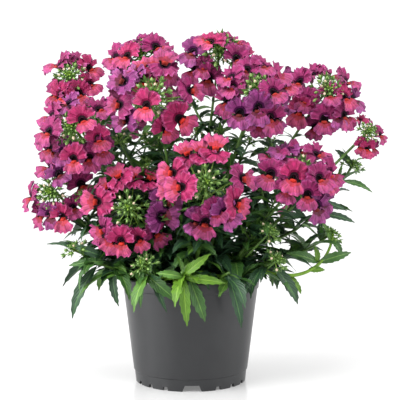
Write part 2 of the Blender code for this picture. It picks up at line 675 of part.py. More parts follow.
def main():
    for old in list(bpy.data.objects):
        bpy.data.objects.remove(old)

    plastic = material("moulded plastic grey", "#4a4b4d", 0.38)
    mix_brown = material("potting mix", "#2b1d16", 0.95)
    bark = material("stem green", "#5d7a3a", 0.55)
    leaf_green = material("leaf green", "#3f5d2c", 0.5)
    lime = material("young leaf green", "#7fa23c", 0.5)
    petal = material("petal magenta", "#c3306f", 0.6)

    # Pot
    pot = add_object("pot", *turned(pot_profile(), POT_SEGMENTS), plastic)
    cutters = []
    for quarter in range(4):
        at = WIDE_NOTCH_AT + 90 * quarter
        cutters.append(notch_cutter(at, *WIDE_NOTCH_HALF, WIDE_NOTCH_HEIGHT))
        cutters.append(drain_cutter(at))
        for further in SMALL_NOTCH_ANGLES:
            cutters.append(notch_cutter(at + further, SMALL_NOTCH_HALF, SMALL_NOTCH_HALF * 0.7, SMALL_NOTCH_HEIGHT))
    boolean(pot, [outward(cutter) for cutter in cutters], "DIFFERENCE", plastic)
    keep_main_body(pot)
    pot.data.shade_smooth()
    pot.data.set_sharp_from_angle(angle=math.radians(30))

    # Potting mix
    inside = 2 * CLEAR + WALL
    soil_profile = [
        (BASE_RADIUS - WALL - 2 * CLEAR, FLOOR_TOP + CLEAR),
        (wall_radius(FOOT_TOP) - inside, FOOT_TOP + MM),
        (wall_radius(SOIL_TOP) - inside - 0.3 * MM, SOIL_TOP - 1.5 * MM),
        (wall_radius(SOIL_TOP) - inside - 2.0 * MM, SOIL_TOP),
        (0, SOIL_TOP),
        (0, FLOOR_TOP + CLEAR),
    ]
    soil = add_object("potting_mix", *turned(soil_profile, SOIL_SEGMENTS), mix_brown)

    space = Space()
    for solid in (pot, soil):
        mesh = solid.data
        shape = ([v.co.copy() for v in mesh.vertices], [tuple(p.vertices) for p in mesh.polygons])
        space.keep(shape, solid.name)

    nodes = {}

    def place(node, solids, must=False):
        """Add solids to a node if they are clear of every other node."""
        if not must and not all(space.is_free(one, node) for one in solids):
            return False
        if must and not all(space.is_free(one, node, 0.05 * MM) for one in solids):
            print("touches:", node)
        for one in solids:
            space.keep(one, node)
        nodes.setdefault(node, []).extend(solids)
        return True

    # Limbs: each shoot's bare foot, its leafy stems, and the stems of its heads
    leafy = {}
    head_stems = {}

    def place_head_stem(name, points):
        points = head_stem(name, shift_along(points, CLEAR))
        radii = [STEM_RADIUS[1] * mix((1.0, 0.8), i / (len(points) - 1)) for i in range(len(points))]
        place("flowers_" + name, [outward(limb(points, radii, STEM_SIDES))], must=True)
        head_stems[name] = points

    for name, (heads, leafy_share, bud_tips) in SHOOTS.items():
        tip = head_centre(heads[0])
        bough = [stem_point(tip, s) for s in stem_shares(0, BOUGH_SHARE, 3)]
        radii = [mix(STEM_RADIUS, s) for s in (0, 0.06, BOUGH_SHARE)]
        place("stem_" + name, [outward(limb(bough, radii, STEM_SIDES, True))], must=True)
        mass = "foliage_" + name
        points = [stem_point(tip, s) for s in stem_shares(BOUGH_SHARE, leafy_share, 6)]
        points = shift_along(points, CLEAR)
        radii = [mix(STEM_RADIUS, s) for s in stem_shares(BOUGH_SHARE, leafy_share, 6)]
        place(mass, [outward(limb(points, radii, STEM_SIDES))], must=True)
        leafy[mass] = [(points, 1.0, 1.0)]
        rest = [stem_point(tip, s) for s in stem_shares(leafy_share, NECK_AT, 3)]
        place_head_stem(heads[0], rest)
        for other in heads[1:]:
            end = head_centre(other)
            bow = side_bow(tip, end)
            arm = [side_stem_point(tip, end, s, bow) for s in stem_shares(0, leafy_share, 5)]
            place(mass, [outward(limb(arm, [ARM_RADIUS * 1.1] * 5, STEM_SIDES))], must=True)
            leafy[mass].append((arm[1:], 0.8, 1.3))
            rest = [side_stem_point(tip, end, s, bow) for s in stem_shares(leafy_share, NECK_AT, 3)]
            place_head_stem(other, rest)
        for end in bud_tips:
            end = Vector(end) * MM
            arm = [side_stem_point(tip, end, s, side_bow(tip, end)) for s in stem_shares(0, 1, 5)]
            radii = [mix((ARM_RADIUS, 0.7 * ARM_RADIUS), s) for s in stem_shares(0, 1, 5)]
            place(mass, [outward(limb(arm, radii, STEM_SIDES))], must=True)
            ahead = (arm[-1] - arm[-2]).normalized()
            for one in bud_cluster(arm[-1], (ahead + Vector((0, 0, 0.6))).normalized(), BUD_LENGTH * 0.8):
                place(mass, [one])
            leafy[mass].append((arm[1:], 0.95, 1.0))
    for name, (turn, distance, height, reach) in LOW_SHOOTS.items():
        mass = "foliage_" + name
        out = Vector((math.sin(math.radians(turn)), -math.cos(math.radians(turn)), 0))
        foot = out * distance * MM + Vector((0, 0, SOIL_TOP + CLEAR))
        points = []
        for share in stem_shares(0, 1, 4):
            points.append(foot + Vector((0, 0, share * height * MM)) + share ** LOW_SHOOT_BOW * reach * MM * out)
        place(mass, [outward(limb(points, [1.5 * MM, 1.4 * MM, 1.2 * MM, MM], STEM_SIDES, True))], must=True)
        leafy[mass] = [(points, 1.0, 0.9)]

    # Flower heads, front ones first
    for name in HEADS:
        node = "flowers_" + name
        missed = 0
        for solid in head_solids(name, head_stems[name]):
            if not place(node, [solid]):
                missed += 1
        if missed:
            print(node, "has no room for", missed)

    # Leaves
    made = 0
    order = sorted(leafy, key=lambda mass: not mass.startswith("foliage_rim"))
    for mass in order:
        rng = random.Random(f"{SEED} {mass}")
        out_turn = None
        if mass.startswith("foliage_rim"):
            out_turn = math.radians(LOW_SHOOTS[mass.replace("foliage_", "")][0])
        count = 0
        for points, size, apart in leafy[mass]:
            for root, turn, rise, droop, length, roll in leaf_pairs(points, rng, size, apart, out_turn):
                for turned_by, raised_by, scale in LEAF_TRIES:
                    one = leaf(root, turn + turned_by, rise + raised_by, droop, length * scale, roll)
                    if place(mass, [one]):
                        count += 1
                        break
        made += count
        print(mass, "leaves", count)
    print("leaves", made)

    total = 0
    for node, solids in nodes.items():
        finish = petal if node.startswith("flowers") else bark if node.startswith("stem") else leaf_green
        if node == "foliage_rim_front":
            finish = lime
        built = fused(node, solids, finish)
        total += len(built.data.polygons)
        print(node, len(solids), len(built.data.polygons))
    print("triangles", total)


main()
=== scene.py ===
# %% [markdown]
# Potted nemesia, dressed for its picture.
#
# A nemesia is a bushy garden plant some 20 cm tall.  Slender green stems carry pairs of
# toothed leaves, and each stem ends in a head of two-lipped flowers round a knot of green
# buds.  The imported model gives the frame: the pot, the stems, and the space that each mass
# of leaves and flowers fills.  This lesson grows the fine plant in the same places, by the
# same rule, and gives every part its finish.

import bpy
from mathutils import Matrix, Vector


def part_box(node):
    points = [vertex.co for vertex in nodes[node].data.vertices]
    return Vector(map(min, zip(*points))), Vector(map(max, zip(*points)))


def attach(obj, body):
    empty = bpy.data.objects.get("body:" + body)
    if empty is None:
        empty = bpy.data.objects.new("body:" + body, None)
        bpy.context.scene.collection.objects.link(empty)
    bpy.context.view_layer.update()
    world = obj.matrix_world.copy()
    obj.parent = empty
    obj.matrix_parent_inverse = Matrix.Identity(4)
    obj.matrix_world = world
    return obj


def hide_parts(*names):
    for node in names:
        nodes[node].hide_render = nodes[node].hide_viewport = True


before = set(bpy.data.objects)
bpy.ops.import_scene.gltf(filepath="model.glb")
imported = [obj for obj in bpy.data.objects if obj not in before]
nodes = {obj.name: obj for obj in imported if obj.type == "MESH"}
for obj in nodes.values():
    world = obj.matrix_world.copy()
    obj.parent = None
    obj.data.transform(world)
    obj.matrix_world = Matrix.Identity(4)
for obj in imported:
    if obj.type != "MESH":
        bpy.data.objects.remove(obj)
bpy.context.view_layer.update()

# %% What the lesson uses
import math
import random

import bmesh
import bpy
import numpy as np
from mathutils import Matrix, Vector

MM = 0.001
SEED = 41

# %% [markdown]
# The camera comes first, because every comparison with the photograph hangs on it.  The
# photograph was taken from the height of the plant's middle, level, with a lens a little
# longer than normal, so the pot's sides hardly converge.

# %% Camera
PICTURE_WIDTH = 400         # pixels
FOCUS = 740                 # focal length, in pixels of that picture
SENSOR = 36                 # mm wide
CAMERA_PLACE = (8.1 * MM, -646 * MM, 155.3 * MM)

camera_data = bpy.data.cameras.new("camera")
camera_data.sensor_width = SENSOR
camera_data.lens = SENSOR * FOCUS / PICTURE_WIDTH
camera = bpy.data.objects.new("camera", camera_data)
camera.location = CAMERA_PLACE
camera.rotation_euler = (math.radians(90), 0, 0)
bpy.context.scene.collection.objects.link(camera)
bpy.context.scene.camera = camera
print("lens, mm:", round(camera_data.lens, 1))

# %% [markdown]
# Colours are written as sRGB hex, as a paint program shows them.  Blender's shaders work
# in linear light, so one function turns them.  A second one adds a shader node with its
# settings and its links in one call, so that each material reads as a short list.

# %% Colour and node helpers
def linear(colour):
    """An sRGB hex colour as linear red, green, blue and alpha."""
    channels = [int(colour[i:i + 2], 16) / 255 for i in (1, 3, 5)]
    return [c / 12.92 if c <= 0.04045 else ((c + 0.055) / 1.055) ** 2.4 for c in channels] + [1.0]


def add_node(tree, kind, settings=None, links=None):
    """One shader node; links join its inputs to outputs.

    settings go to its properties, its inputs or, as (place, colour) pairs, to its ramp's stops.
    """
    made = tree.nodes.new(kind)
    for name, value in (settings or {}).items():
        if name == "stops":
            for element, (place, colour) in zip(made.color_ramp.elements, value):
                element.position = place
                element.color = colour
        elif isinstance(name, str) and hasattr(made, name):
            setattr(made, name, value)
        else:
            made.inputs[name].default_value = value
    for name, source in (links or {}).items():
        tree.links.new(source, made.inputs[name])
    return made


def new_finish(name, **sockets):
    """A new material; sockets set the numbers and colours of its Principled shader."""
    made = bpy.data.materials.new(name)
    made.use_nodes = True
    shader = made.node_tree.nodes["Principled BSDF"]
    for socket, value in sockets.items():
        shader.inputs[socket.replace("_", " ")].default_value = value
    return made, made.node_tree, shader


def toned(colour, tone):
    """A linear colour made lighter or darker."""
    return [min(1, channel * tone) for channel in colour[:3]] + [1]


print("mid grey in linear light:", round(linear("#808080")[0], 3))

# %% [markdown]
# The studio is a shooting table under a bright white backdrop.  The backdrop lights the
# plant from behind and above, and the room behind the camera is dimmer.  A world whose
# strength depends on the direction does both without any walls to model.

# %% Backdrop
ROOM_LIGHT = (0.6, 1.15)    # behind the camera, and behind the plant
ROOM_FADE = (-0.95, 0.0)    # the y of the directions between which the one becomes the other

world = bpy.data.worlds.new("white backdrop, dimmer room")
bpy.context.scene.world = world
world.use_nodes = True
tree = world.node_tree
way = add_node(tree, "ShaderNodeTexCoord").outputs["Generated"]
parts = add_node(tree, "ShaderNodeSeparateXYZ", links={"Vector": way})
fade = add_node(tree, "ShaderNodeMapRange", {
    "interpolation_type": "SMOOTHSTEP",
    "From Min": ROOM_FADE[0],
    "From Max": ROOM_FADE[1],
    "To Min": ROOM_LIGHT[0],
    "To Max": ROOM_LIGHT[1],
}, {"Value": parts.outputs["Y"]})
background = tree.nodes["Background"]
background.inputs["Color"].default_value = (1, 1, 1, 1)
tree.links.new(fade.outputs["Result"], background.inputs["Strength"])
bpy.context.scene.view_settings.view_transform = "Standard"
print("room light:", ROOM_LIGHT)

# %% [markdown]
# A large softbox stands on each side, the left one brighter.  They give the pot its light
# flanks and the dark band down its middle, and they light the petals from both sides.  A
# smaller one overhead picks out the upper flowers.

# %% Softboxes
PLANT_MIDDLE = Vector((0, 0, 0.17))
# place in metres, power in watts, and width and height in metres
SOFTBOXES = {
    "left softbox": ((-1.3, -0.6, 0.65), 43.0, (1.4, 1.7)),
    "right softbox": ((1.35, -0.35, 0.65), 17.0, (1.5, 1.7)),
    "top softbox": ((-0.2, -0.7, 1.6), 18.0, (0.7, 0.6)),
}

for name, (place, power, size) in SOFTBOXES.items():
    lamp = bpy.data.lights.new(name, "AREA")
    lamp.shape = "RECTANGLE"
    lamp.size, lamp.size_y = size
    lamp.energy = power
    box = bpy.data.objects.new(name, lamp)
    box.location = place
    box.rotation_mode = "QUATERNION"
    box.rotation_quaternion = (PLANT_MIDDLE - Vector(place)).to_track_quat("-Z", "Y")
    bpy.context.scene.collection.objects.link(box)
    print(name, power, "W")

# %% [markdown]
# The table is a sheet of white acrylic, lit a little from below as product tables are, so
# that the pot stands in almost no shadow.  The glow is a weak emission of its own.

# %% Table
# White acrylic sheet, cast: IOR 1.49, glossy, so the pot stands on a faint picture of itself.
TABLE_SIZE = 12.0           # metres
TABLE_GAP = 0.02 * MM       # the sheet lies this far under the pot's foot, so the two don't flicker
TABLE_GLOW = 0.2
TABLE_CLOUD = 333 * MM      # size of the patches that are a little less glossy

table_finish, tree, shader = new_finish(
    "white acrylic sheet, cast", Base_Color=linear("#b8b8b8"), IOR=1.49,
    Emission_Color=(1, 1, 1, 1), Emission_Strength=TABLE_GLOW)
clouds = add_node(tree, "ShaderNodeTexNoise", {"Scale": 1 / TABLE_CLOUD, "Detail": 3.0})
gloss = add_node(tree, "ShaderNodeMapRange", {"To Min": 0.13, "To Max": 0.19},
                 {"Value": clouds.outputs["Fac"]})
tree.links.new(gloss.outputs["Result"], shader.inputs["Roughness"])

half = TABLE_SIZE / 2
table_mesh = bpy.data.meshes.new("table")
table_corners = [(-half, -half, 0), (half, -half, 0), (half, half, 0), (-half, half, 0)]
table_mesh.from_pydata(table_corners, [], [(0, 1, 2, 3)])
table_mesh.materials.append(table_finish)
table = bpy.data.objects.new("table", table_mesh)
table.location.z = -TABLE_GAP
bpy.context.scene.collection.objects.link(table)
print("table, m:", TABLE_SIZE)

# %% [markdown]
# A plant is thousands of small shapes.  Making an object for each would be slow, so each
# kind is gathered in a pile of arrays and becomes one mesh at the end.  Every face keeps
# the number of its finish, and every point its place (u, v) on its own leaf or petal, for
# the veins.

# %% The pile
class Pile:
    """Small shapes gathered into one mesh, each face with its own finish."""

    def __init__(self, name, finishes):
        self.name = name
        self.finishes = finishes
        self.order = list(finishes)
        self.points = []
        self.spots = []
        self.faces = []
        self.slots = []
        self.count = 0

    def add(self, points, faces, finish, spots=None):
        """Adds a shape.  finish is one name, or a list with a name for each face."""
        points = np.asarray(points, float).reshape(-1, 3)
        spots = np.zeros((len(points), 2)) if spots is None else np.asarray(spots, float).reshape(-1, 2)
        names = [finish] * len(faces) if isinstance(finish, str) else finish
        faces = faces.tolist() if isinstance(faces, np.ndarray) else faces
        self.points.append(points)
        self.spots.append(spots)
        self.faces.extend([corner + self.count for corner in face] for face in faces)
        self.slots.extend(self.order.index(name) for name in names)
        self.count += len(points)

    def build(self, slot, replaced=()):
        """Makes the mesh object, puts it on the model's one body and hides the parts that it replaces."""
        mesh = bpy.data.meshes.new(self.name)
        mesh.from_pydata(np.concatenate(self.points).tolist(), [], self.faces)
        for name in self.order:
            mesh.materials.append(self.finishes[name])
        mesh.polygons.foreach_set("material_index", self.slots)
        spots = np.concatenate(self.spots)
        corners = np.empty(len(mesh.loops), int)
        mesh.loops.foreach_get("vertex_index", corners)
        layer = mesh.uv_layers.new(name="place on the blade")
        layer.data.foreach_set("uv", spots[corners].ravel())
        mesh.shade_smooth()
        made = bpy.data.objects.new(self.name, mesh)
        bpy.context.scene.collection.objects.link(made)
        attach(made, "root")
        if replaced:
            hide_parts(*replaced)
        triangles = sum(len(face) - 2 for face in self.faces)
        print(self.name, "triangles:", triangles)
        return made


def grid_faces(rows, columns, closed=False):
    """The four-sided faces of a grid of points; closed joins the last column to the first."""
    row = np.arange(rows - 1)[:, None]
    column = np.arange(columns if closed else columns - 1)[None, :]
    after = (column + 1) % columns
    here, beyond = row * columns, (row + 1) * columns
    corners = [here + column, here + after, beyond + after, beyond + column]
    return np.stack(np.broadcast_arrays(*corners), -1).reshape(-1, 4)


print("a grid of 3 by 3 points has", len(grid_faces(3, 3)), "faces")

# %% [markdown]
# The pot is the kind that nurseries grow in: thin black-grey polypropylene, injection
# moulded, with a turned-out band at the rim and a notched foot that lets water run off.
# Its section is drawn as a profile with rounded corners and turned about the axis, as the
# mould was, and the notches are then cut by one Boolean.

# %% Pot finish
# Polypropylene, injection moulded: IOR 1.49, roughness about 0.36, a satin skin with the
# faint orange-peel of the mould and hair-fine scuffs from stacking.  The scuffs and the peel
# are drawn coarser than they are, so that they show.
DUST_PATCH = 22.2 * MM
SCUFF_WIDTH = 1.11 * MM
SCUFF_STRETCH = 0.06        # scuffs run up and down, this much coarser than across
PEEL_DIMPLE = 0.714 * MM
PEEL_DEPTH = 0.03 * MM

pot_finish, tree, shader = new_finish(
    "polypropylene, injection moulded", Base_Color=linear("#232426"), Roughness=0.36, IOR=1.49)
position = add_node(tree, "ShaderNodeNewGeometry").outputs["Position"]
dust = add_node(tree, "ShaderNodeTexNoise", {"Scale": 1 / DUST_PATCH, "Detail": 5.0, "Roughness": 0.6},
                {"Vector": position})
shade = add_node(tree, "ShaderNodeValToRGB",
                 {"stops": ((0.3, linear("#202123")), (0.75, linear("#27282a")))},
                 {"Fac": dust.outputs["Fac"]})
tree.links.new(shade.outputs["Color"], shader.inputs["Base Color"])
long_way = add_node(tree, "ShaderNodeMapping", {"Scale": (1.0, 1.0, SCUFF_STRETCH)}, {"Vector": position})
scuffs = add_node(tree, "ShaderNodeTexNoise", {"Scale": 1 / SCUFF_WIDTH, "Detail": 2.0},
                  {"Vector": long_way.outputs["Vector"]})
gloss = add_node(tree, "ShaderNodeMapRange",
                 {"From Min": 0.3, "From Max": 0.7, "To Min": 0.34, "To Max": 0.38},
                 {"Value": scuffs.outputs["Fac"]})
tree.links.new(gloss.outputs["Result"], shader.inputs["Roughness"])
peel = add_node(tree, "ShaderNodeTexNoise", {"Scale": 1 / PEEL_DIMPLE, "Detail": 2.0}, {"Vector": position})
relief = add_node(tree, "ShaderNodeBump", {"Strength": 0.25, "Distance": PEEL_DEPTH},
                  {"Height": peel.outputs["Fac"]})
tree.links.new(relief.outputs["Normal"], shader.inputs["Normal"])
print("pot finish:", pot_finish.name)

# %% [markdown]
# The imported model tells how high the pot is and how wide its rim.  The rest is how such pots
# are made: a wall of little more than a millimetre, which widens upwards so that the pot
# leaves its mould and stacks, and a foot that stands a step inside the wall.

# %% Pot sizes
pot_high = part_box("pot")[1]
POT_HEIGHT = pot_high.z
RIM_RADIUS = pot_high.x
BAND_HEIGHT = 9.5 * MM      # the band that strengthens the rim
BAND_PROUD = 0.9 * MM
BAND_LEDGE = 0.4 * MM       # height of the slope under the band
RIM_FLAT = (0.6 * MM, 1.8 * MM)     # the rim's flat top, inwards from its widest circle
RIM_SHOULDER = 1.2 * MM     # the rim is widest this far under its top
WALL = 1.3 * MM
FOOT_TOP = 10.2 * MM
FOOT_STEP = 0.8 * MM        # how far the foot stands inside the wall
STEP_HEIGHT = 0.5 * MM
WALL_FOOT_RADIUS = 49.3 * MM
BASE_RADIUS = 47.6 * MM
FOOT_RING = 2.2 * MM        # width of the ring that the pot stands on
FLOOR_UNDER = 5.2 * MM
FLOOR_TOP = 6.8 * MM
HUB_RADIUS = 17 * MM        # the boss under the floor's middle, which the plastic flows in through
POT_SEGMENTS = 160
EDGE_ROUND = 0.45 * MM      # radius of the moulded edges
LONGEST_ROUND = 0.4         # a rounding takes at most this share of each side of its corner
ON_AXIS = 1e-6              # metres; what is nearer the axis counts as on it
BAND_FOOT = POT_HEIGHT - BAND_HEIGHT


def wall_radius(height):
    """The pot's outer radius where its wall is plain."""
    share = (height - FOOT_TOP) / (BAND_FOOT - FOOT_TOP)
    return WALL_FOOT_RADIUS + share * (RIM_RADIUS - 2 * BAND_PROUD - WALL_FOOT_RADIUS)


print("pot, mm: high", round(POT_HEIGHT / MM, 1), "wide", round(2 * RIM_RADIUS / MM, 1))

# %% [markdown]
# The pot's section is a closed line of corners.  Each corner is rounded by a small arc, for
# sharp edges look false in any light, and the line is turned about the axis.

# %% Pot body
def rounded(corners, radius, steps=3):
    """A closed profile of (radius, height) corners with each corner turned into a small arc."""
    made = []
    count = len(corners)
    for i in range(count):
        here = Vector(corners[i])
        before = Vector(corners[i - 1]) - here
        after = Vector(corners[(i + 1) % count]) - here
        reach = min(radius, LONGEST_ROUND * before.length, LONGEST_ROUND * after.length)
        if here.x < ON_AXIS:
            made.append(here)
            continue
        start = here + before.normalized() * reach
        end = here + after.normalized() * reach
        for k in range(steps + 1):
            t = k / steps
            made.append((1 - t) ** 2 * start + 2 * t * (1 - t) * here + t ** 2 * end)
    return made


def lathe(name, profile, segments, finish):
    """A closed body turned about the upright axis from a closed profile of (radius, height)."""
    shape = bmesh.new()
    rings = []
    for radius, height in profile:
        if radius < ON_AXIS:
            rings.append([shape.verts.new((0, 0, height))] * segments)
            continue
        ring = []
        for k in range(segments):
            angle = math.tau * k / segments
            ring.append(shape.verts.new((radius * math.cos(angle), radius * math.sin(angle), height)))
        rings.append(ring)
    for ring, following in zip(rings, rings[1:] + rings[:1]):
        for k in range(segments):
            n = (k + 1) % segments
            corners = []
            for vert in (ring[k], ring[n], following[n], following[k]):
                if vert not in corners:
                    corners.append(vert)
            if len(corners) > 2:
                shape.faces.new(corners)
    bmesh.ops.recalc_face_normals(shape, faces=shape.faces)
    mesh = bpy.data.meshes.new(name)
    shape.to_mesh(mesh)
    shape.free()
    mesh.materials.append(finish)
    made = bpy.data.objects.new(name, mesh)
    bpy.context.scene.collection.objects.link(made)
    return made


profile = rounded([
    (BASE_RADIUS, 0),
    (WALL_FOOT_RADIUS - FOOT_STEP, FOOT_TOP - STEP_HEIGHT),
    (WALL_FOOT_RADIUS, FOOT_TOP),
    (wall_radius(BAND_FOOT), BAND_FOOT),
    (wall_radius(BAND_FOOT) + BAND_PROUD, BAND_FOOT + BAND_LEDGE),
    (RIM_RADIUS, POT_HEIGHT - RIM_SHOULDER),
    (RIM_RADIUS - RIM_FLAT[0], POT_HEIGHT),
    (RIM_RADIUS - RIM_FLAT[1], POT_HEIGHT),
    (wall_radius(BAND_FOOT) - WALL, BAND_FOOT - MM),
    (wall_radius(FOOT_TOP) - WALL, FOOT_TOP),
    (BASE_RADIUS - WALL, FLOOR_TOP),
    (0, FLOOR_TOP),
    (0, 0),
    (HUB_RADIUS, 0),
    (HUB_RADIUS, FLOOR_UNDER),
    (BASE_RADIUS - FOOT_RING, FLOOR_UNDER),
    (BASE_RADIUS - FOOT_RING, 0),
], EDGE_ROUND)
pot = lathe("pot_moulded", profile, POT_SEGMENTS, pot_finish)
print("pot body faces:", len(pot.data.polygons))

# %% [markdown]
# The foot ring is notched so that water runs off: four wide notches and three small ones in
# each quarter.  Four drain holes go through the floor.  All of them are bars in one cutter,
# and one Boolean takes them out of the pot.

# %% Notches and drain holes
WIDE_NOTCH_AT = 2.0         # degrees round from the front
WIDE_NOTCH = (8.3 * MM, 5.8 * MM, 5.0 * MM)      # half width below, half width above, height
SMALL_NOTCH = (2.6 * MM, 1.8 * MM, 3.0 * MM)
SMALL_NOTCH_ANGLES = (27.0, 45.0, 63.0)          # degrees further round than a wide one
NOTCH_REACH = 6 * MM        # how far inside and outside the foot's edge a bar goes
DRAIN_SIZE = (7 * MM, 8 * MM)                    # width, and length outwards
DRAIN_RADIUS = 39 * MM
SHARP_ANGLE = 40            # degrees; a steeper edge stays an edge in smooth shading


def bar(angle, across_low, across_high, top, inner, outer):
    """The corners and faces of a bar that cuts outwards through the foot at an angle."""
    turn = Matrix.Rotation(math.radians(angle), 4, "Z")
    section = ((-across_low, -MM), (across_low, -MM), (across_high, top), (-across_high, top))
    corners = [tuple(turn @ Vector((across, -radius, height)))
               for radius in (inner, outer) for across, height in section]
    faces = [(3, 2, 1, 0), (4, 5, 6, 7), (0, 1, 5, 4), (1, 2, 6, 5), (2, 3, 7, 6), (3, 0, 4, 7)]
    return corners, faces


cutter_points, cutter_faces = [], []
foot_edge = (BASE_RADIUS - NOTCH_REACH, BASE_RADIUS + NOTCH_REACH)
drain = (DRAIN_RADIUS - DRAIN_SIZE[1] / 2, DRAIN_RADIUS + DRAIN_SIZE[1] / 2)
for quarter in range(4):
    at = WIDE_NOTCH_AT + 90 * quarter
    bars = [bar(at, *WIDE_NOTCH, *foot_edge)]
    bars.append(bar(at, DRAIN_SIZE[0] / 2, DRAIN_SIZE[0] / 2, FLOOR_TOP + MM, *drain))
    bars.extend(bar(at + further, *SMALL_NOTCH, *foot_edge) for further in SMALL_NOTCH_ANGLES)
    for corners, faces in bars:
        cutter_faces.extend([tuple(i + len(cutter_points) for i in face) for face in faces])
        cutter_points.extend(corners)
cutter_mesh = bpy.data.meshes.new("notch cutter")
cutter_mesh.from_pydata(cutter_points, [], cutter_faces)
cutter = bpy.data.objects.new("notch cutter", cutter_mesh)
bpy.context.scene.collection.objects.link(cutter)
notches = pot.modifiers.new("notches", "BOOLEAN")
notches.operation = "DIFFERENCE"
notches.object = cutter
notches.solver = "EXACT"
bpy.context.view_layer.update()
cut = bpy.data.meshes.new_from_object(pot.evaluated_get(bpy.context.evaluated_depsgraph_get()))
pot.modifiers.clear()
pot.data = cut
bpy.data.objects.remove(cutter)
cut.shade_smooth()
cut.set_sharp_from_angle(angle=math.radians(SHARP_ANGLE))
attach(pot, "root")
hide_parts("pot")
print("pot faces:", len(cut.polygons))

# %% [markdown]
# The potting mix is peat with bark chips, watered and settled to a little under the rim.
# Leaves hide most of it, so its top is one turned body whose surface is thrown up in clods,
# with loose chips lying on it.

# %% Potting mix finish
# Peat and composted bark, damp: IOR about 1.4, rough, near black where wet and brown where dry.
CRUMB = 3.85 * MM
CRUMB_DEPTH = 0.8 * MM

mix_finish, tree, shader = new_finish("peat and bark, damp", Roughness=0.85, IOR=1.4)
position = add_node(tree, "ShaderNodeNewGeometry").outputs["Position"]
grain = add_node(tree, "ShaderNodeTexNoise", {"Scale": 1 / CRUMB, "Detail": 6.0, "Roughness": 0.7},
                 {"Vector": position})
shade = add_node(tree, "ShaderNodeValToRGB",
                 {"stops": ((0.32, linear("#120c09")), (0.72, linear("#4a3324")))},
                 {"Fac": grain.outputs["Fac"]})
tree.links.new(shade.outputs["Color"], shader.inputs["Base Color"])
relief = add_node(tree, "ShaderNodeBump", {"Strength": 0.8, "Distance": CRUMB_DEPTH},
                  {"Height": grain.outputs["Fac"]})
tree.links.new(relief.outputs["Normal"], shader.inputs["Normal"])
print("potting mix finish:", mix_finish.name)

# %% Potting mix
mix_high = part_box("potting_mix")[1]
SOIL_TOP = mix_high.z
SOIL_RADIUS = mix_high.x - 2.0 * MM
SOIL_FOOT = (wall_radius(FOOT_TOP) - 2 * MM, FLOOR_TOP + 0.3 * MM)      # radius and height
SOIL_EDGE = 6 * MM          # height of the upright side at the top
SOIL_MIDDLE = 0.02          # radius of the innermost ring, as a share of the whole
SOIL_RINGS = 22
SOIL_COLUMNS = 72
CLOD_HEIGHT = 1.1 * MM
CLOD_WAVES = 14
CLOD_TURN = 520             # radians for each metre at most: clods about a centimetre wide
CHIPS = 160
CHIP_SIZE = (0.7 * MM, 2.4 * MM)        # half the length of a chip's sides, least and most
CHIP_SHAPE = (1.3, 0.8, 0.45)           # chips are longer than wide, and thin
CHIP_SUNK = 0.6 * MM

rng = np.random.default_rng(SEED)
waves = rng.uniform(-1, 1, (CLOD_WAVES, 2)) * CLOD_TURN
phases = rng.uniform(0, math.tau, CLOD_WAVES)
angles = np.linspace(0, math.tau, SOIL_COLUMNS, endpoint=False)


def clod(x, y):
    """How far a clod stands up or sinks at a place, from a few crossed waves."""
    total = sum(np.sin(w[0] * x + w[1] * y + p) for w, p in zip(waves, phases))
    return CLOD_HEIGHT * np.tanh(total / 3) - CLOD_HEIGHT


def soil_ring(radius, height):
    """A ring of points round the pot's axis."""
    return np.stack([radius * np.cos(angles), radius * np.sin(angles), np.full_like(angles, height)], -1)


def add_chip(pile):
    """Adds a chip of bark, a lopsided box that lies almost flat."""
    angle, radius = rng.uniform(0, math.tau), SOIL_RADIUS * math.sqrt(rng.uniform(0, 0.93))
    middle = np.array([radius * math.cos(angle), radius * math.sin(angle), SOIL_TOP - CHIP_SUNK])
    size = rng.uniform(*CHIP_SIZE, 3) * CHIP_SHAPE
    chip = np.array([[x, y, z] for x in (-1, 1) for y in (-1, 1) for z in (-1, 1)]) * size
    chip *= rng.uniform(0.6, 1.2, chip.shape)
    turn = Matrix.Rotation(rng.uniform(0, math.tau), 3, "Z")
    tip = Matrix.Rotation(rng.uniform(-0.5, 0.5), 3, "X")
    faces = [(0, 1, 3, 2), (4, 6, 7, 5), (0, 4, 5, 1), (2, 3, 7, 6), (0, 2, 6, 4), (1, 5, 7, 3)]
    pile.add(middle + chip @ np.array(turn @ tip).T, faces, "mix")


rings = [soil_ring(*SOIL_FOOT), soil_ring(SOIL_RADIUS, SOIL_TOP - SOIL_EDGE)]
for share in np.linspace(1, SOIL_MIDDLE, SOIL_RINGS):
    x, y = SOIL_RADIUS * share * np.cos(angles), SOIL_RADIUS * share * np.sin(angles)
    rings.append(np.stack([x, y, SOIL_TOP + clod(x, y)], -1))
underside = list(range(SOIL_COLUMNS - 1, -1, -1))
crown = list(range((len(rings) - 1) * SOIL_COLUMNS, len(rings) * SOIL_COLUMNS))
sides = grid_faces(len(rings), SOIL_COLUMNS, closed=True).tolist()
soil = Pile("potting_mix_clods", {"mix": mix_finish})
soil.add(np.stack(rings), sides + [underside, crown], "mix")
for _ in range(CHIPS):
    add_chip(soil)
soil.build("potting_mix", ["potting_mix"])

# %% [markdown]
# Now the plant's own rule.  It is the one that the solid model was grown by: each shoot
# rises from the soil to a flower head, bows outwards, and may fork into side stems.  The
# tables name every head and shoot once, in millimetres, and all else is worked out.

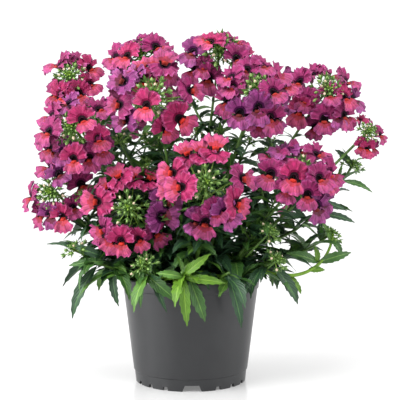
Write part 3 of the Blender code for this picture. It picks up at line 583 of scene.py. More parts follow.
# %% Heads
# Each flower head: centre (x, y, z) in mm, radius of its dome in mm, where its axis points
# (degrees to the right, degrees over level), and the clock angles of its flowers, first
# round its edge and then on its face.
HEADS = {
    "left_top": ((-106, 15, 262), 21, (-10, 20), (133, 39, 302, 222, 249, 85), ()),
    "left_middle": ((-93, -35, 211), 29, (-14, 16), (275, 327, 217, 183, 150, 50, 110), (194, 18)),
    "left_low": ((-114, -12, 161), 26, (-20, 8), (104, 19, 189, 232, 296), (60,)),
    "top_left": ((-43, 12, 279), 27, (-6, 18), (178, 22, 63, 118, 273, 334), (204, 23)),
    "upper_left": ((-28, -48, 236), 29, (-4, 14), (152, 188, 318, 16, 75, 112), (253,)),
    "top_middle": ((25, 6, 282), 27, (4, 22), (180, 246, 122, 75, 40, 0), (162, 320)),
    "upper_right": ((54, -36, 242), 28, (8, 16), (149, 195, 230, 19, 77, 46, 292), (263, 332)),
    "right_top": ((115, -2, 246), 30, (12, 20), (157, 356, 303, 66, 28, 214, 260, 110), ()),
    "right_middle": ((88, -46, 172), 29, (12, 20), (175, 298, 5, 111, 51, 136), (208, 270, 328)),
    "middle": ((13, -76, 166), 28, (2, 14), (75, 120, 162, 12, 325, 268, 300), (195,)),
    "middle_left": ((-48, -42, 147), 28, (-6, 12), (111, 64, 168, 217, 258, 318, 345, 12), ()),
    "right_tip": ((151, -5, 212), 15, (20, 24), (110, 265, 352, 40), ()),
    "back_left": ((-110, 80, 226), 27, (215, 24), (20, 78, 136, 196, 258, 318), ()),
    "back_middle": ((14, 102, 172), 28, (180, 22), (8, 66, 124, 182, 240, 300), (30,)),
    "back_right": ((103, 72, 172), 28, (140, 22), (12, 70, 128, 186, 244, 304), ()),
    "back_upper_left": ((-40, 62, 250), 27, (190, 26), (0, 60, 120, 180, 240, 300), ()),
    "back_upper_right": ((64, 55, 253), 27, (165, 26), (30, 88, 146, 206, 266, 326), ()),
    "back_low": ((-64, 88, 149), 26, (205, 18), (24, 84, 144, 204, 264, 324), ()),
}

print("heads:", len(HEADS))

# %% [markdown]
# Twelve shoots carry the heads.  Six of them fork to a second head, and four have a side
# stem that ends in buds.

# %% Shoots
# Each shoot: the heads that it carries, the share of its height that is leafy, and the tips
# (x, y, z) in mm of side stems that end in buds.
SHOOTS = {
    "left_top": (("left_top", "back_left"), 0.66, ()),
    "left_middle": (("left_middle",), 0.70, ()),
    "left_low": (("left_low",), 0.62, ((-97, -32, 117),)),
    "top_left": (("top_left", "back_upper_left"), 0.66, ()),
    "upper_left": (("upper_left",), 0.66, ((-62, -20, 208),)),
    "top_middle": (("top_middle", "back_upper_right"), 0.68, ()),
    "upper_right": (("upper_right",), 0.70, ()),
    "right_top": (("right_top", "back_right"), 0.66, ((144, 8, 188),)),
    "right_middle": (("right_middle", "right_tip"), 0.60, ((121, -18, 128),)),
    "middle": (("middle",), 0.60, ()),
    "middle_left": (("middle_left",), 0.62, ()),
    "back_middle": (("back_middle", "back_low"), 0.60, ()),
}

print("shoots:", len(SHOOTS))

# %% [markdown]
# Eleven short leafy shoots stand round the rim, and their leaves hang over it.

# %% Low shoots
# Low shoots over the rim: degrees round from the front, distance of the foot from the axis,
# height, and reach outwards, in mm.
LOW_SHOOTS = {
    "rim_front": (-5, 41, 19, 28),
    "rim_front_left": (-32, 41, 20, 30),
    "rim_left": (-66, 42, 24, 45),
    "rim_front_right": (27, 41, 18, 27),
    "rim_right": (60, 42, 24, 38),
    "rim_far_right": (92, 42, 26, 36),
    "rim_back_right": (123, 41, 30, 34),
    "rim_back": (154, 41, 24, 30),
    "rim_back_middle": (186, 41, 30, 32),
    "rim_back_left": (218, 41, 24, 34),
    "rim_far_left": (262, 42, 28, 38),
}
print("low shoots:", len(LOW_SHOOTS))

# %% [markdown]
# Stems run along smooth curves.  A steep one goes up before it leans out, a spreading one
# leans out before it rises, and a side stem leaves its shoot low down.

# %% Lines of the stems
CLEAR = 0.3 * MM            # a stem's foot stands this far over the top of the mix
BASE_SHRINK = 0.27          # and at this share of its tip's distance from the axis
STEM_BOW = (1.55, 0.8)      # how late a steep stem and a spreading one run out
LEAN_RANGE = (0.6, 1.4)     # how far those two lean, outwards for one unit upwards
FORK_AT = 0.22              # the share of a stem's height where its side stems leave it
SIDE_BOW = (1.2, 1.2)       # how late a side stem rises and runs out, to a head that stands high
LOW_BOW = (2.2, 0.9)        # and to a bud tip or a head low at the side
LOW_SIDE = 0.75             # a side stem that rises less than this, for one unit outwards, is low
KNOT_AT = 0.5               # the knot of buds stands this far over the head's middle, in dome radii


def mix(pair, share):
    """The value between a pair of values, at a share of the way."""
    return pair[0] + (pair[1] - pair[0]) * share


def stem_point(tip, share):
    """A point on the stem that rises from the soil to a tip, at a share of its height."""
    foot = Vector((tip.x * BASE_SHRINK, tip.y * BASE_SHRINK, SOIL_TOP + CLEAR))
    lean = math.hypot(tip.x, tip.y) / (tip.z - foot.z)
    spreading = (lean - LEAN_RANGE[0]) / (LEAN_RANGE[1] - LEAN_RANGE[0])
    out = share ** mix(STEM_BOW, min(max(spreading, 0), 1))
    return Vector((mix((foot.x, tip.x), out), mix((foot.y, tip.y), out), mix((foot.z, tip.z), share)))


def side_bow(main_tip, tip):
    """How a side stem bows: late outwards to a high tip, late upwards to a low one."""
    way = tip - stem_point(main_tip, FORK_AT)
    return LOW_BOW if way.z < LOW_SIDE * math.hypot(way.x, way.y) else SIDE_BOW


def side_stem_point(main_tip, tip, share, bow):
    """A point on a side stem, which leaves the main stem low down, runs out and bows up."""
    start = stem_point(main_tip, FORK_AT)
    up, out = share ** bow[0], share ** bow[1]
    return Vector((mix((start.x, tip.x), out), mix((start.y, tip.y), out), mix((start.z, tip.z), up)))


def aim(turn, rise):
    """The direction that lies so far to the viewer's right and so far over level."""
    turn, rise = math.radians(turn), math.radians(rise)
    return Vector((math.sin(turn) * math.cos(rise), -math.cos(turn) * math.cos(rise), math.sin(rise)))


def head_centre(name):
    """The middle of a flower head, which its stem runs up to."""
    return Vector(HEADS[name][0]) * MM


def head_axis(name):
    """The direction that a head's knot of buds points in."""
    return aim(*HEADS[name][2])


def head_knot(name):
    """Where the knot of buds stands."""
    return head_centre(name) + head_axis(name) * HEADS[name][1] * MM * KNOT_AT


print("highest knot of buds, mm:", round(max(head_knot(name).z for name in HEADS) / MM))

# %% [markdown]
# A limb is a tube whose cross-section is carried along its line without twisting.  Nemesia
# stems are ribbed rather than round, and they swell where each pair of leaves joins, so the
# tube gets four low ribs and a swelling at each joint: relief in the mesh, not painted.

# %% Limbs
STEM_SIDES = 12
RIB = 0.10                  # how far a rib stands out, as a share of the radius
SWELLING = 0.35             # how much thicker a joint is
SWELLING_LENGTH = 1.8 * MM
LINE_STEP = 2.5 * MM        # distance between the rings of a tube
LINE_TRIALS = 60            # steps in which the length of a curve is measured
FIRST_ACROSS = (0.31, 0.95, 0.05)       # a direction that limbs hardly ever start in


def carried_frames(line):
    """For each point of a line, the direction along it and two across it that don't twist."""
    ahead = np.gradient(line, axis=0)
    ahead /= np.linalg.norm(ahead, axis=1)[:, None]
    across = np.cross(ahead[0], FIRST_ACROSS)
    frames = []
    for along in ahead:
        across = across - across.dot(along) * along
        across /= np.linalg.norm(across)
        frames.append((along, across, np.cross(along, across)))
    return frames


def add_limb(pile, line, radii, finish, sides=STEM_SIDES, joints=(), rib=RIB):
    """Adds a ribbed tube along a line; joints are distances along it where it swells."""
    line = np.array([tuple(p) for p in line])
    walked = np.concatenate([[0], np.cumsum(np.linalg.norm(np.diff(line, axis=0), axis=1))])
    around = np.linspace(0, math.tau, sides, endpoint=False)
    rows = []
    for i, (along, across, up) in enumerate(carried_frames(line)):
        swell = sum(math.exp(-((walked[i] - joint) / SWELLING_LENGTH) ** 2) for joint in joints)
        reach = radii[i] * (1 + SWELLING * min(swell, 1)) * (1 + rib * np.cos(4 * around))
        ring = np.outer(np.cos(around), across) + np.outer(np.sin(around), up)
        rows.append(line[i] + reach[:, None] * ring)
    points = np.concatenate([np.concatenate(rows), line[:1], line[-1:]])
    last = (len(rows) - 1) * sides
    foot, top = last + sides, last + sides + 1
    turns = [(k, (k + 1) % sides) for k in range(sides)]
    faces = grid_faces(len(rows), sides, closed=True).tolist()
    faces.extend((after, k, foot) for k, after in turns)
    faces.extend((last + k, last + after, top) for k, after in turns)
    pile.add(points, faces, finish)


def smooth_line(point_at, low, high):
    """Points every few millimetres along a curve that is given as a function of a share."""
    rough = [point_at(low + (high - low) * i / LINE_TRIALS) for i in range(LINE_TRIALS + 1)]
    length = sum((b - a).length for a, b in zip(rough, rough[1:]))
    count = max(4, int(length / LINE_STEP))
    return [point_at(low + (high - low) * i / count) for i in range(count + 1)]


print("a limb has", STEM_SIDES, "sides and ribs", RIB, "of its radius high")

# %% [markdown]
# Leaf finishes.  A living leaf has a waxy skin over green tissue: IOR about 1.45, satin,
# with veins sunk in its face.  Old leaves low in the plant are a dark blue-green, those
# higher up fresher, and the newest shoots over the rim are lime.  The darker greens low on a
# stem are painted shade as well as age, since the plant shades its lower leaves.  Each leaf
# gets one plain colour, dealt out by age, and its midrib a paler one.  The shader adds a
# slight mottle and the relief of the side veins.

# %% Leaf and stem finishes
LEAF_COLOURS = {"dark": "#29482e", "middle": "#396029", "fresh": "#4b742a", "lime": "#567f1e"}
RIB_COLOURS = {"dark": "#4c7440", "middle": "#62883e", "fresh": "#769c44", "lime": "#769a36"}
MOTTLE_SPOT = 4.76 * MM
MOTTLE = 0.16               # how far the mottle goes darker and lighter
SIDE_VEINS = 9.0            # pairs of side veins on a leaf
VEIN_SLANT = -0.55          # they run towards the tip as they run out to the edge
VEIN_DEPTH = 0.25 * MM


def living_green(name, colour, roughness, veins=False):
    """A waxy living green with a mottle, and sunken veins where the piece has (u, v) places."""
    made, tree, shader = new_finish(name, Roughness=roughness, IOR=1.45)
    base = linear(colour)
    position = add_node(tree, "ShaderNodeNewGeometry").outputs["Position"]
    spots = add_node(tree, "ShaderNodeTexNoise", {"Scale": 1 / MOTTLE_SPOT, "Detail": 3.0},
                     {"Vector": position})
    shade = add_node(tree, "ShaderNodeValToRGB",
                     {"stops": ((0.3, toned(base, 1 - MOTTLE)), (0.7, toned(base, 1 + MOTTLE)))},
                     {"Fac": spots.outputs["Fac"]})
    tree.links.new(shade.outputs["Color"], shader.inputs["Base Color"])
    height = spots.outputs["Fac"]
    if veins:
        place = add_node(tree, "ShaderNodeUVMap", {"uv_map": "place on the blade"})
        parts = add_node(tree, "ShaderNodeSeparateXYZ", links={"Vector": place.outputs["UV"]})
        middle = add_node(tree, "ShaderNodeMath", {"operation": "SUBTRACT", 1: 0.5}, {0: parts.outputs["X"]})
        away = add_node(tree, "ShaderNodeMath", {"operation": "ABSOLUTE"}, {0: middle.outputs[0]})
        slant = add_node(tree, "ShaderNodeMath", {"operation": "MULTIPLY_ADD", 1: VEIN_SLANT},
                         {0: away.outputs[0], 2: parts.outputs["Y"]})
        turns = add_node(tree, "ShaderNodeMath", {"operation": "MULTIPLY", 1: SIDE_VEINS * math.tau},
                         {0: slant.outputs[0]})
        height = add_node(tree, "ShaderNodeMath", {"operation": "SINE"}, {0: turns.outputs[0]}).outputs[0]
    relief = add_node(tree, "ShaderNodeBump", {"Strength": 0.5, "Distance": VEIN_DEPTH}, {"Height": height})
    tree.links.new(relief.outputs["Normal"], shader.inputs["Normal"])
    return made


leaf_finishes = {age: living_green(f"leaf, {age}, waxed by the plant", colour, 0.42, veins=True)
                 for age, colour in LEAF_COLOURS.items()}
for age, colour in RIB_COLOURS.items():
    leaf_finishes[f"{age} rib"] = living_green(f"leaf rib, {age}, pale", colour, 0.42)
stem_finishes = {
    "stem": living_green("stem skin, green and ribbed", "#4a6b27", 0.45),
    "young stem": living_green("stem skin, young and lime", "#6d9428", 0.45),
    "pedicel": living_green("flower stalk skin, downy", "#6f9034", 0.5),
}
print("leaf and stem finishes:", len(leaf_finishes) + len(stem_finishes))

# %% [markdown]
# Leaves stand in pairs, each pair square to the last.  Low ones are long, stand close and
# droop, and those near the top are short, wide apart and steep.  The outer leaves of the low
# shoots hang over the rim.  Sizes go from the foot of a shoot to its top.

# %% Where leaves stand
LEAF_LENGTH = (46 * MM, 26 * MM)
LEAF_ROLL = 40.0            # degrees that a leaf may be rolled about its length
LEAF_RISE = (6.0, 48.0)     # degrees over level where it leaves the stem
LEAF_DROOP = (66.0, 34.0)   # degrees that it bends down along its length
INTERNODE = (9.8 * MM, 19.5 * MM)
FIRST_PAIR = 3 * MM         # distance of the lowest pair from the foot
ROOT_SHIFT = 0.35 * MM      # the root of a leaf stands this far off the middle of its stem
HANG_RISE = (35.0, -20.0)   # the outer leaves of a low shoot
HANG_DROOP = (60.0, 75.0)
HANG_LENGTH = 1.2           # their length and roll beside those of the others
HANG_ROLL = 0.4
HANG_SIDE = -0.3            # cosine of the widest turn from straight out at which a leaf hangs


def along_stem(points, distance):
    """The point of a stem at a distance from its foot."""
    for a, b in zip(points, points[1:]):
        step = (b - a).length
        if distance <= step:
            return a.lerp(b, distance / step)
        distance -= step
    return points[-1].copy()


def leaf_pairs(points, rng, size=1.0, apart=1.0, out_turn=None):
    """Where leaves stand along a stem: pairs, each square to the last.

    Gives (distance, root, turn, rise, droop, length, roll) for each leaf.
    """
    total = sum((b - a).length for a, b in zip(points, points[1:]))
    turn = rng.uniform(0, math.tau) if out_turn is None else out_turn
    distance = FIRST_PAIR
    while distance < total - MM:
        share = distance / total
        root = along_stem(points, distance)
        for side in (0, math.pi):
            length = size * mix(LEAF_LENGTH, share) * rng.uniform(0.85, 1.1)
            rise = math.radians(mix(LEAF_RISE, share) + rng.uniform(-9, 9))
            droop = math.radians(mix(LEAF_DROOP, share) + rng.uniform(-12, 12))
            turned = turn + side + rng.uniform(-0.2, 0.2)
            level = Vector((math.sin(turned), -math.cos(turned), 0))
            roll = math.radians(rng.uniform(-LEAF_ROLL, LEAF_ROLL))
            if out_turn is not None and math.cos(turned - out_turn) > HANG_SIDE:
                rise = math.radians(mix(HANG_RISE, share))
                droop = math.radians(mix(HANG_DROOP, share)) * rng.uniform(0.85, 1.1)
                length *= HANG_LENGTH
                roll *= HANG_ROLL
            yield distance, root + ROOT_SHIFT * level, turned, rise, droop, length, roll
        turn += math.pi / 2
        distance += apart * mix(INTERNODE, share) * rng.uniform(0.9, 1.1)


print("pairs of leaves on 100 mm of stem:",
      len(list(leaf_pairs([Vector((0, 0, 0)), Vector((0, 0, 100 * MM))], random.Random(SEED)))) // 2)

# %% [markdown]
# A leaf is one sheet of points, thirteen rows of six: long and narrow, widest below its
# middle, folded up a little on each side of the midrib and toothed at its edge.  Every other
# point of the edge is a tooth.  A thin open sheet is enough, since no one sees its thickness.

# %% A leaf's blade
LEAF_WIDTH = 0.30           # of its length
LEAF_ROWS = 13
LEAF_ACROSS = (-1.0, -0.5, -0.075, 0.075, 0.5, 1.0)    # the midrib lies between the middle two
WIDEST = 0.8                # power that moves the widest place: at 1 it is in the middle
FOLD = 0.34                 # how steeply each half of a leaf rises from its midrib
TOOTH = 0.17                # depth of a tooth, as a share of the half width
TOOTH_LEAN = 0.12           # how far teeth point ahead, in leaf widths
ARCH = 0.14                 # rise of the arch of a leaf placed one by one, as a share of its length


def half_widths(width):
    """Half a leaf's width at each row, from a narrow foot to a pointed tip."""
    share = np.linspace(0, 1, LEAF_ROWS)
    return width / 2 * np.maximum(np.sin(math.pi * share ** WIDEST), 0.05) ** 0.85


def blade(spine, along, across, normal, width, ripple):
    """The points of a toothed, folded leaf, a row across for each point of its spine."""
    share = np.linspace(0, 1, LEAF_ROWS)
    point = np.arange(LEAF_ROWS) % 2 == 0
    half = half_widths(width)
    rows = []
    for u in LEAF_ACROSS:
        edge = abs(u) == 1.0
        reach = half * u * np.where(edge & ~point, 1 - TOOTH, 1)
        lift = FOLD * abs(u) * half + ripple * half * u * u * np.sin(9 * share + 2.5 * u)
        ahead = TOOTH_LEAN * width * (point & edge)
        rows.append(spine + reach[:, None] * across + lift[:, None] * normal + ahead[:, None] * along)
    return np.stack(rows, 1)


def drooping_leaf(root, turn, rise, droop, length, roll, ripple):
    """A leaf by the rule: it leaves the stem at a rise and droops evenly to its tip."""
    share = np.linspace(0, 1, LEAF_ROWS)
    level = np.array([math.sin(turn), -math.cos(turn), 0])
    up = np.array([0.0, 0.0, 1.0])
    between = rise - droop * (share[1:] + share[:-1]) / 2
    steps = np.outer(np.cos(between), level) + np.outer(np.sin(between), up)
    steps *= length / (LEAF_ROWS - 1)
    spine = np.array(root) + np.concatenate([np.zeros((1, 3)), np.cumsum(steps, axis=0)])
    bend = rise - droop * share
    along = np.outer(np.cos(bend), level) + np.outer(np.sin(bend), up)
    normal = np.outer(-np.sin(bend), level) + np.outer(np.cos(bend), up)
    flat = np.array([math.cos(turn), math.sin(turn), 0])
    across = math.cos(roll) * flat + math.sin(roll) * normal
    normal = math.cos(roll) * normal - math.sin(roll) * flat
    return blade(spine, along, across, normal, length * LEAF_WIDTH, ripple)


def arched_leaf(root, tip, width, ripple):
    """A leaf between two points, which arches away from the pot and shows its face to the front."""
    root, tip = np.array(root, float), np.array(tip, float)
    share = np.linspace(0, 1, LEAF_ROWS)[:, None]
    chord = tip - root
    out = (root + tip) * (1, 1, 0)
    out = 0.4 * out / np.linalg.norm(out) + (0, -1, 0.35)
    out -= out.dot(chord) / chord.dot(chord) * chord
    out /= np.linalg.norm(out)
    bulge = ARCH * np.linalg.norm(chord)
    spine = root + chord * share + bulge * 4 * share * (1 - share) * out
    along = chord + bulge * 4 * (1 - 2 * share) * out
    along /= np.linalg.norm(along, axis=1)[:, None]
    across = np.cross(along, out)
    across /= np.linalg.norm(across, axis=1)[:, None]
    return blade(spine, along, across, np.cross(across, along), width, ripple)


print("a leaf has", 2 * (LEAF_ROWS - 1) * (len(LEAF_ACROSS) - 1), "triangles")

# %% [markdown]
# A real leaf gives way where the pot is in its way.  So a leaf that would cut through the
# pot's wall is turned, raised and shortened by the tries that the solid model knows, and
# left out if none of them helps.

# %% Leaves beside the pot
POT_CLEAR = 0.8 * MM
RIM_CLEAR = 2 * MM
# How a leaf moves aside: turn, rise, share of its length.
LEAF_TRIES = ((0, 0, 1), (0.3, 0.2, 0.95), (-0.3, 0.2, 0.95), (0.6, -0.15, 0.85), (-0.6, -0.15, 0.85),
              (0.2, 0.5, 0.75), (-0.2, 0.5, 0.7))


def hits_pot(points):
    """True if any of the points lies in the pot's wall or inside the pot under its rim."""
    radius = np.hypot(points[..., 0], points[..., 1])
    height = points[..., 2]
    wall = wall_radius(height)
    in_wall = (radius < wall + BAND_PROUD + POT_CLEAR) & (radius > wall - WALL - MM)
    in_pot = (height < POT_HEIGHT + POT_CLEAR) & (radius < RIM_RADIUS + RIM_CLEAR)
    return bool(np.any(in_pot & (in_wall | (height < SOIL_TOP - MM))))


LEAF_FACES = grid_faces(LEAF_ROWS, len(LEAF_ACROSS))
LEAF_SPOTS = np.stack(np.meshgrid((np.array(LEAF_ACROSS) + 1) / 2, np.linspace(0, 1, LEAF_ROWS)), -1)


def add_blade(pile, grid, age):
    """Adds a leaf's grid of points, with its midrib in a paler green."""
    pile.add(grid, LEAF_FACES, [age, age, f"{age} rib", age, age] * (LEAF_ROWS - 1), LEAF_SPOTS)


def add_leaf(pile, place, age, rng):
    """Adds a leaf, moved aside as the solid model's rule says where the pot is in its way."""
    root, turn, rise, droop, length, roll = place
    ripple = rng.uniform(-0.25, 0.25)
    for turned_by, raised_by, scale in LEAF_TRIES:
        grid = drooping_leaf(root, turn + turned_by, rise + raised_by, droop, length * scale, roll, ripple)
        if not hits_pot(grid[2:]):
            add_blade(pile, grid, age)
            return


print("ways to move aside:", len(LEAF_TRIES) - 1)

# %% [markdown]
# Petal finishes.  A petal is a thin velvety sheet: rough, with a soft sheen from its tiny
# cells, and darker veins that fan out from the throat.  Over these lie lighter and darker
# patches of painted light and shade, which stand for the creases and folds of a crumpled
# petal.  Nemesia flowers change as they age, from coral and hot pink through magenta to
# purple, and every flower has zones: a near-black eye, an orange-red boss, a coral lip and a
# pinker edge.  The eye is the flower's dark marking and, in the throat, painted shade too; a
# darker band round the throat on the upper lobes is painted shade, and on those lobes the
# pinker edge is a painted highlight along the rim.  The zones are faces with their own plain
# colour, so they stay in place in any export.

# %% Petal finishes
# In each age, deep is a band of painted shade round the throat, on the upper lobes.
PETAL_COLOURS = {
    "young": {"petal": "#961650", "deep": "#6c0a34", "eye": "#1c0410", "boss": "#ac1c0c",
              "inner": "#a2283a", "lip": "#a83c62", "edge": "#aa3e72", "back": "#a04474"},
    "open": {"petal": "#861a56", "deep": "#560a3a", "eye": "#160310", "boss": "#981e10",
             "inner": "#8c203a", "lip": "#9a3866", "edge": "#9c3c74", "back": "#944078"},
    "old": {"petal": "#782664", "deep": "#420a3c", "eye": "#120312", "boss": "#6c140e",
            "inner": "#661836", "lip": "#8c3a70", "edge": "#924480", "back": "#864276"},
}
VEINS = 26.0                # vein streaks across a petal
STREAK = 2.5                # and changes along one
VEIN_RELIEF = 0.35 * MM
PAINTED_CRUMPLE_SIZE = 5.26 * MM           # painted light and shade: lighter and darker patches that stand for the creases and folds of crumpled petals
# how far the painted light and shade darkens and lightens a petal's colour
PAINTED_CRUMPLE_TONES = (0.62, 1.32)


def petal_finish(name, colour, vein_depth, gloss):
    """A velvety petal skin with veins that run along the petal, and patches of painted light and shade."""
    made, tree, shader = new_finish(
        name, Roughness=0.62, IOR=1.35, Specular_IOR_Level=0.5 * gloss, Sheen_Weight=0.06 * gloss,
        Sheen_Roughness=0.4)
    base = linear(colour)
    place = add_node(tree, "ShaderNodeUVMap", {"uv_map": "place on the blade"})
    stretched = add_node(tree, "ShaderNodeMapping", {"Scale": (VEINS, STREAK, 1.0)},
                         {"Vector": place.outputs["UV"]})
    streaks = add_node(tree, "ShaderNodeTexNoise", {"Scale": 1.0, "Detail": 3.0},
                       {"Vector": stretched.outputs["Vector"]})
    vein, field = toned(base, 1 - vein_depth), toned(base, 1 + 0.3 * vein_depth)
    shade = add_node(tree, "ShaderNodeValToRGB", {"stops": ((0.36, vein), (0.56, field))},
                     {"Fac": streaks.outputs["Fac"]})
    position = add_node(tree, "ShaderNodeNewGeometry").outputs["Position"]
    # Painted light and shade: noise darkens and lightens the colour as creases and folds would in light.
    painted_crumples = add_node(tree, "ShaderNodeTexNoise", {"Scale": 1 / PAINTED_CRUMPLE_SIZE, "Detail": 4.0, "Roughness": 0.6},
                       {"Vector": position})
    tone = add_node(tree, "ShaderNodeMapRange",
                    {"From Min": 0.3, "From Max": 0.7, "To Min": PAINTED_CRUMPLE_TONES[0], "To Max": PAINTED_CRUMPLE_TONES[1]},
                    {"Value": painted_crumples.outputs["Fac"]})
    both = add_node(tree, "ShaderNodeVectorMath", {"operation": "MULTIPLY"},
                    {0: shade.outputs["Color"], 1: tone.outputs["Result"]})
    tree.links.new(both.outputs[0], shader.inputs["Base Color"])
    relief = add_node(tree, "ShaderNodeBump", {"Strength": 0.6, "Distance": VEIN_RELIEF},
                      {"Height": streaks.outputs["Fac"]})
    tree.links.new(relief.outputs["Normal"], shader.inputs["Normal"])
    return made


petal_finishes = {}
for age, zones in PETAL_COLOURS.items():
    for zone, colour in zones.items():
        depth = 0.42 if zone in ("petal", "lip", "edge", "inner") else 0.2
        gloss = 0.3 if zone in ("eye", "deep") else 1.0
        finish = petal_finish(f"petal, {age}, {zone}, velvety", colour, depth, gloss)
        petal_finishes[f"{age} {zone}"] = finish
print("petal finishes:", len(petal_finishes))

# %% [markdown]
# A flower, in its own frame: x to its right, y up towards the head's middle, z the way it
# faces.  The four small upper lobes fan out over the throat, and one broad ruffled lip hangs
# under it.  Each petal is a closed thin sheet made from a grid: straight at its foot, rounded
# at its end, rippled more and more towards the edge.  Its lengths are in flower sizes.

# %% Petal sheets
def shell(front, thickness):
    """A thin closed sheet: its points, and its front, back and edge faces."""
    rows, columns = front.shape[:2]
    size = rows * columns
    numbers = np.arange(size).reshape(rows, columns)
    border = np.concatenate([numbers[0, :-1], numbers[:-1, -1], numbers[-1, :0:-1], numbers[:0:-1, 0]])
    after = np.roll(border, -1)
    quads = grid_faces(rows, columns)
    edge = np.stack([border, after, after + size, border + size], -1)
    points = np.concatenate([front.reshape(-1, 3), front.reshape(-1, 3) - (0, 0, thickness)])
    return points, quads, quads[:, ::-1] + size, edge


def fan(rows, columns, half_foot, spread, reach, rounding):
    """A petal's outline as a grid: how far sideways and outwards, and the shares along and across."""
    along, across = np.meshgrid(np.linspace(0, 1, rows), np.linspace(-1, 1, columns), indexing="ij")
    angle = across * math.radians(spread)
    length = along * reach * (1 - rounding * np.abs(across) ** 3)
    return half_foot * across + length * np.sin(angle), length * np.cos(angle), along, across


def frill(along, across, rng, waves, depth, power):
    """The ruffle of a petal, which grows towards its edge."""
    return depth * np.sin(waves * across + rng.uniform(0, math.tau)) * along ** power


def face_values(values, rows, columns):
    """The mean of a grid of values over each face."""
    return values.ravel()[grid_faces(rows, columns)].mean(1)


def add_sheet(pile, front, thickness, to_plant, front_names, age):
    """Adds a petal with its front zones, pale back and edge."""
    rows, columns = front.shape[:2]
    points, face, back, edge = shell(front, thickness)
    spots = np.stack(np.meshgrid(np.linspace(0, 1, columns), np.linspace(0, 1, rows)), -1).reshape(-1, 2)
    names = list(front_names) + [f"{age} back"] * len(back) + [f"{age} edge"] * len(edge)
    pile.add(to_plant(points), np.concatenate([face, back, edge]), names, np.concatenate([spots, spots]))


print("a sheet of 8 by 9 points has", sum(len(part) for part in shell(np.zeros((8, 9, 3)), MM)[1:]), "faces")

# %% [markdown]
# The lobes stand forward and roll back at their edge.  The lip juts forward as a broad
# scoop and curls back at its frilled edge.  Each is a little different, as chance has it.
# The zones of colour follow the distance from the throat.

# %% Lobes and lip
LOBES = ((26, 0.98), (66, 1.05), (114, 1.05), (154, 0.98))    # angle and reach of each upper lobe
LOBE_FOOT = 0.15            # distance from the throat's middle to a lobe's foot
LIP_FOOT = 0.10
LIP_REACH = 1.1
LIP_NOTCH = 0.16            # half width of the notch in the lip's end, as a share across it
# the eye is the flower's dark marking and, next to the throat, painted shade too
EYE_END = 0.13              # a lobe's zones end at these shares of its length
# the deep zone, from EYE_END to here, is a band of painted shade round the throat
THROAT_SHADE_END = 0.28
# on the upper lobes the edge zone is a painted highlight along the rim; on the lip it is the pinker margin
EDGE_START = 0.86
BOSS_END = 0.21             # and so do the lip's, whose boss is narrower than the lip
BOSS_SIDE = 0.55
INNER_END = 0.48
ZONE_BOW = 0.12             # the lip's zones come nearer the throat towards its sides


def lobe_grid(angle, reach, rng, rows=8, columns=9):
    """An upper lobe's points, and its shares along and across."""
    reach *= rng.uniform(0.92, 1.06)
    side, out, along, across = fan(rows, columns, half_foot=0.13, spread=22, reach=reach - LOBE_FOOT,
                                   rounding=0.2)
    out = LOBE_FOOT + out + frill(along, across, rng, waves=8, depth=0.05, power=3)
    lean = rng.uniform(0.18, 0.62)
    depth = lean * along - 0.34 * along ** 2 + frill(along, across, rng, waves=7, depth=0.12, power=2)
    depth += 0.06 * across ** 2 * along
    angle = math.radians(angle + rng.uniform(-5, 5))
    x = out * math.cos(angle) - side * math.sin(angle)
    y = out * math.sin(angle) + side * math.cos(angle)
    return np.stack([x, y, depth], -1), along, across


def lip_grid(rng, rows=11, columns=19):
    """The lower lip's points, and its shares along and across."""
    reach = LIP_REACH * rng.uniform(0.92, 1.05)
    side, out, along, across = fan(rows, columns, half_foot=0.27, spread=43, reach=reach - LIP_FOOT,
                                   rounding=0.30)
    out = out * (1 - 0.10 * np.exp(-(across / LIP_NOTCH) ** 2) * along ** 2)
    out += frill(along, across, rng, waves=15, depth=0.05, power=3)
    jut = rng.uniform(0.62, 0.95)
    depth = jut * along - 0.52 * along ** 2 + 0.10 * across ** 2 * along * (1 - along)
    depth += frill(along, across, rng, waves=9, depth=0.10, power=2)
    depth += frill(along, across, rng, waves=16, depth=0.08, power=4)
    return np.stack([side, -(LIP_FOOT + out), depth - 0.03], -1), along, across


def lobe_zones(along):
    """The zone of each face of a lobe."""
    middle = face_values(along, *along.shape)
    # deep: a band of painted shade round the throat
    names = np.where(middle < EYE_END, "eye", np.where(middle < THROAT_SHADE_END, "deep", "petal"))
    # edge: on a lobe, a painted highlight along its rim
    return np.where(middle > EDGE_START, "edge", names)


def lip_zones(along, across):
    """The zone of each face of the lip."""
    middle = face_values(along, *along.shape)
    aside = np.abs(face_values(across, *across.shape))
    names = np.where(middle < BOSS_END, np.where(aside < BOSS_SIDE, "boss", "eye"), "inner")
    names = np.where(middle > INNER_END - ZONE_BOW * aside, "lip", names)
    return np.where(middle > EDGE_START - ZONE_BOW * aside, "edge", names)


print("zones of a lip:", sorted(set(lip_zones(*lip_grid(random.Random(SEED))[1:]))))

# %% [markdown]
# Under the petals sit the parts that join a flower to its stem: five pointed sepals, the
# calyx, and a thin stalk that leaves the flower straight back and bends to the stem.

# %% Calyx and stalk
SEPALS = 5
SEPAL_WIDTH = 0.19          # half its width, as a share of its length
STALK_RADIUS = 0.5 * MM


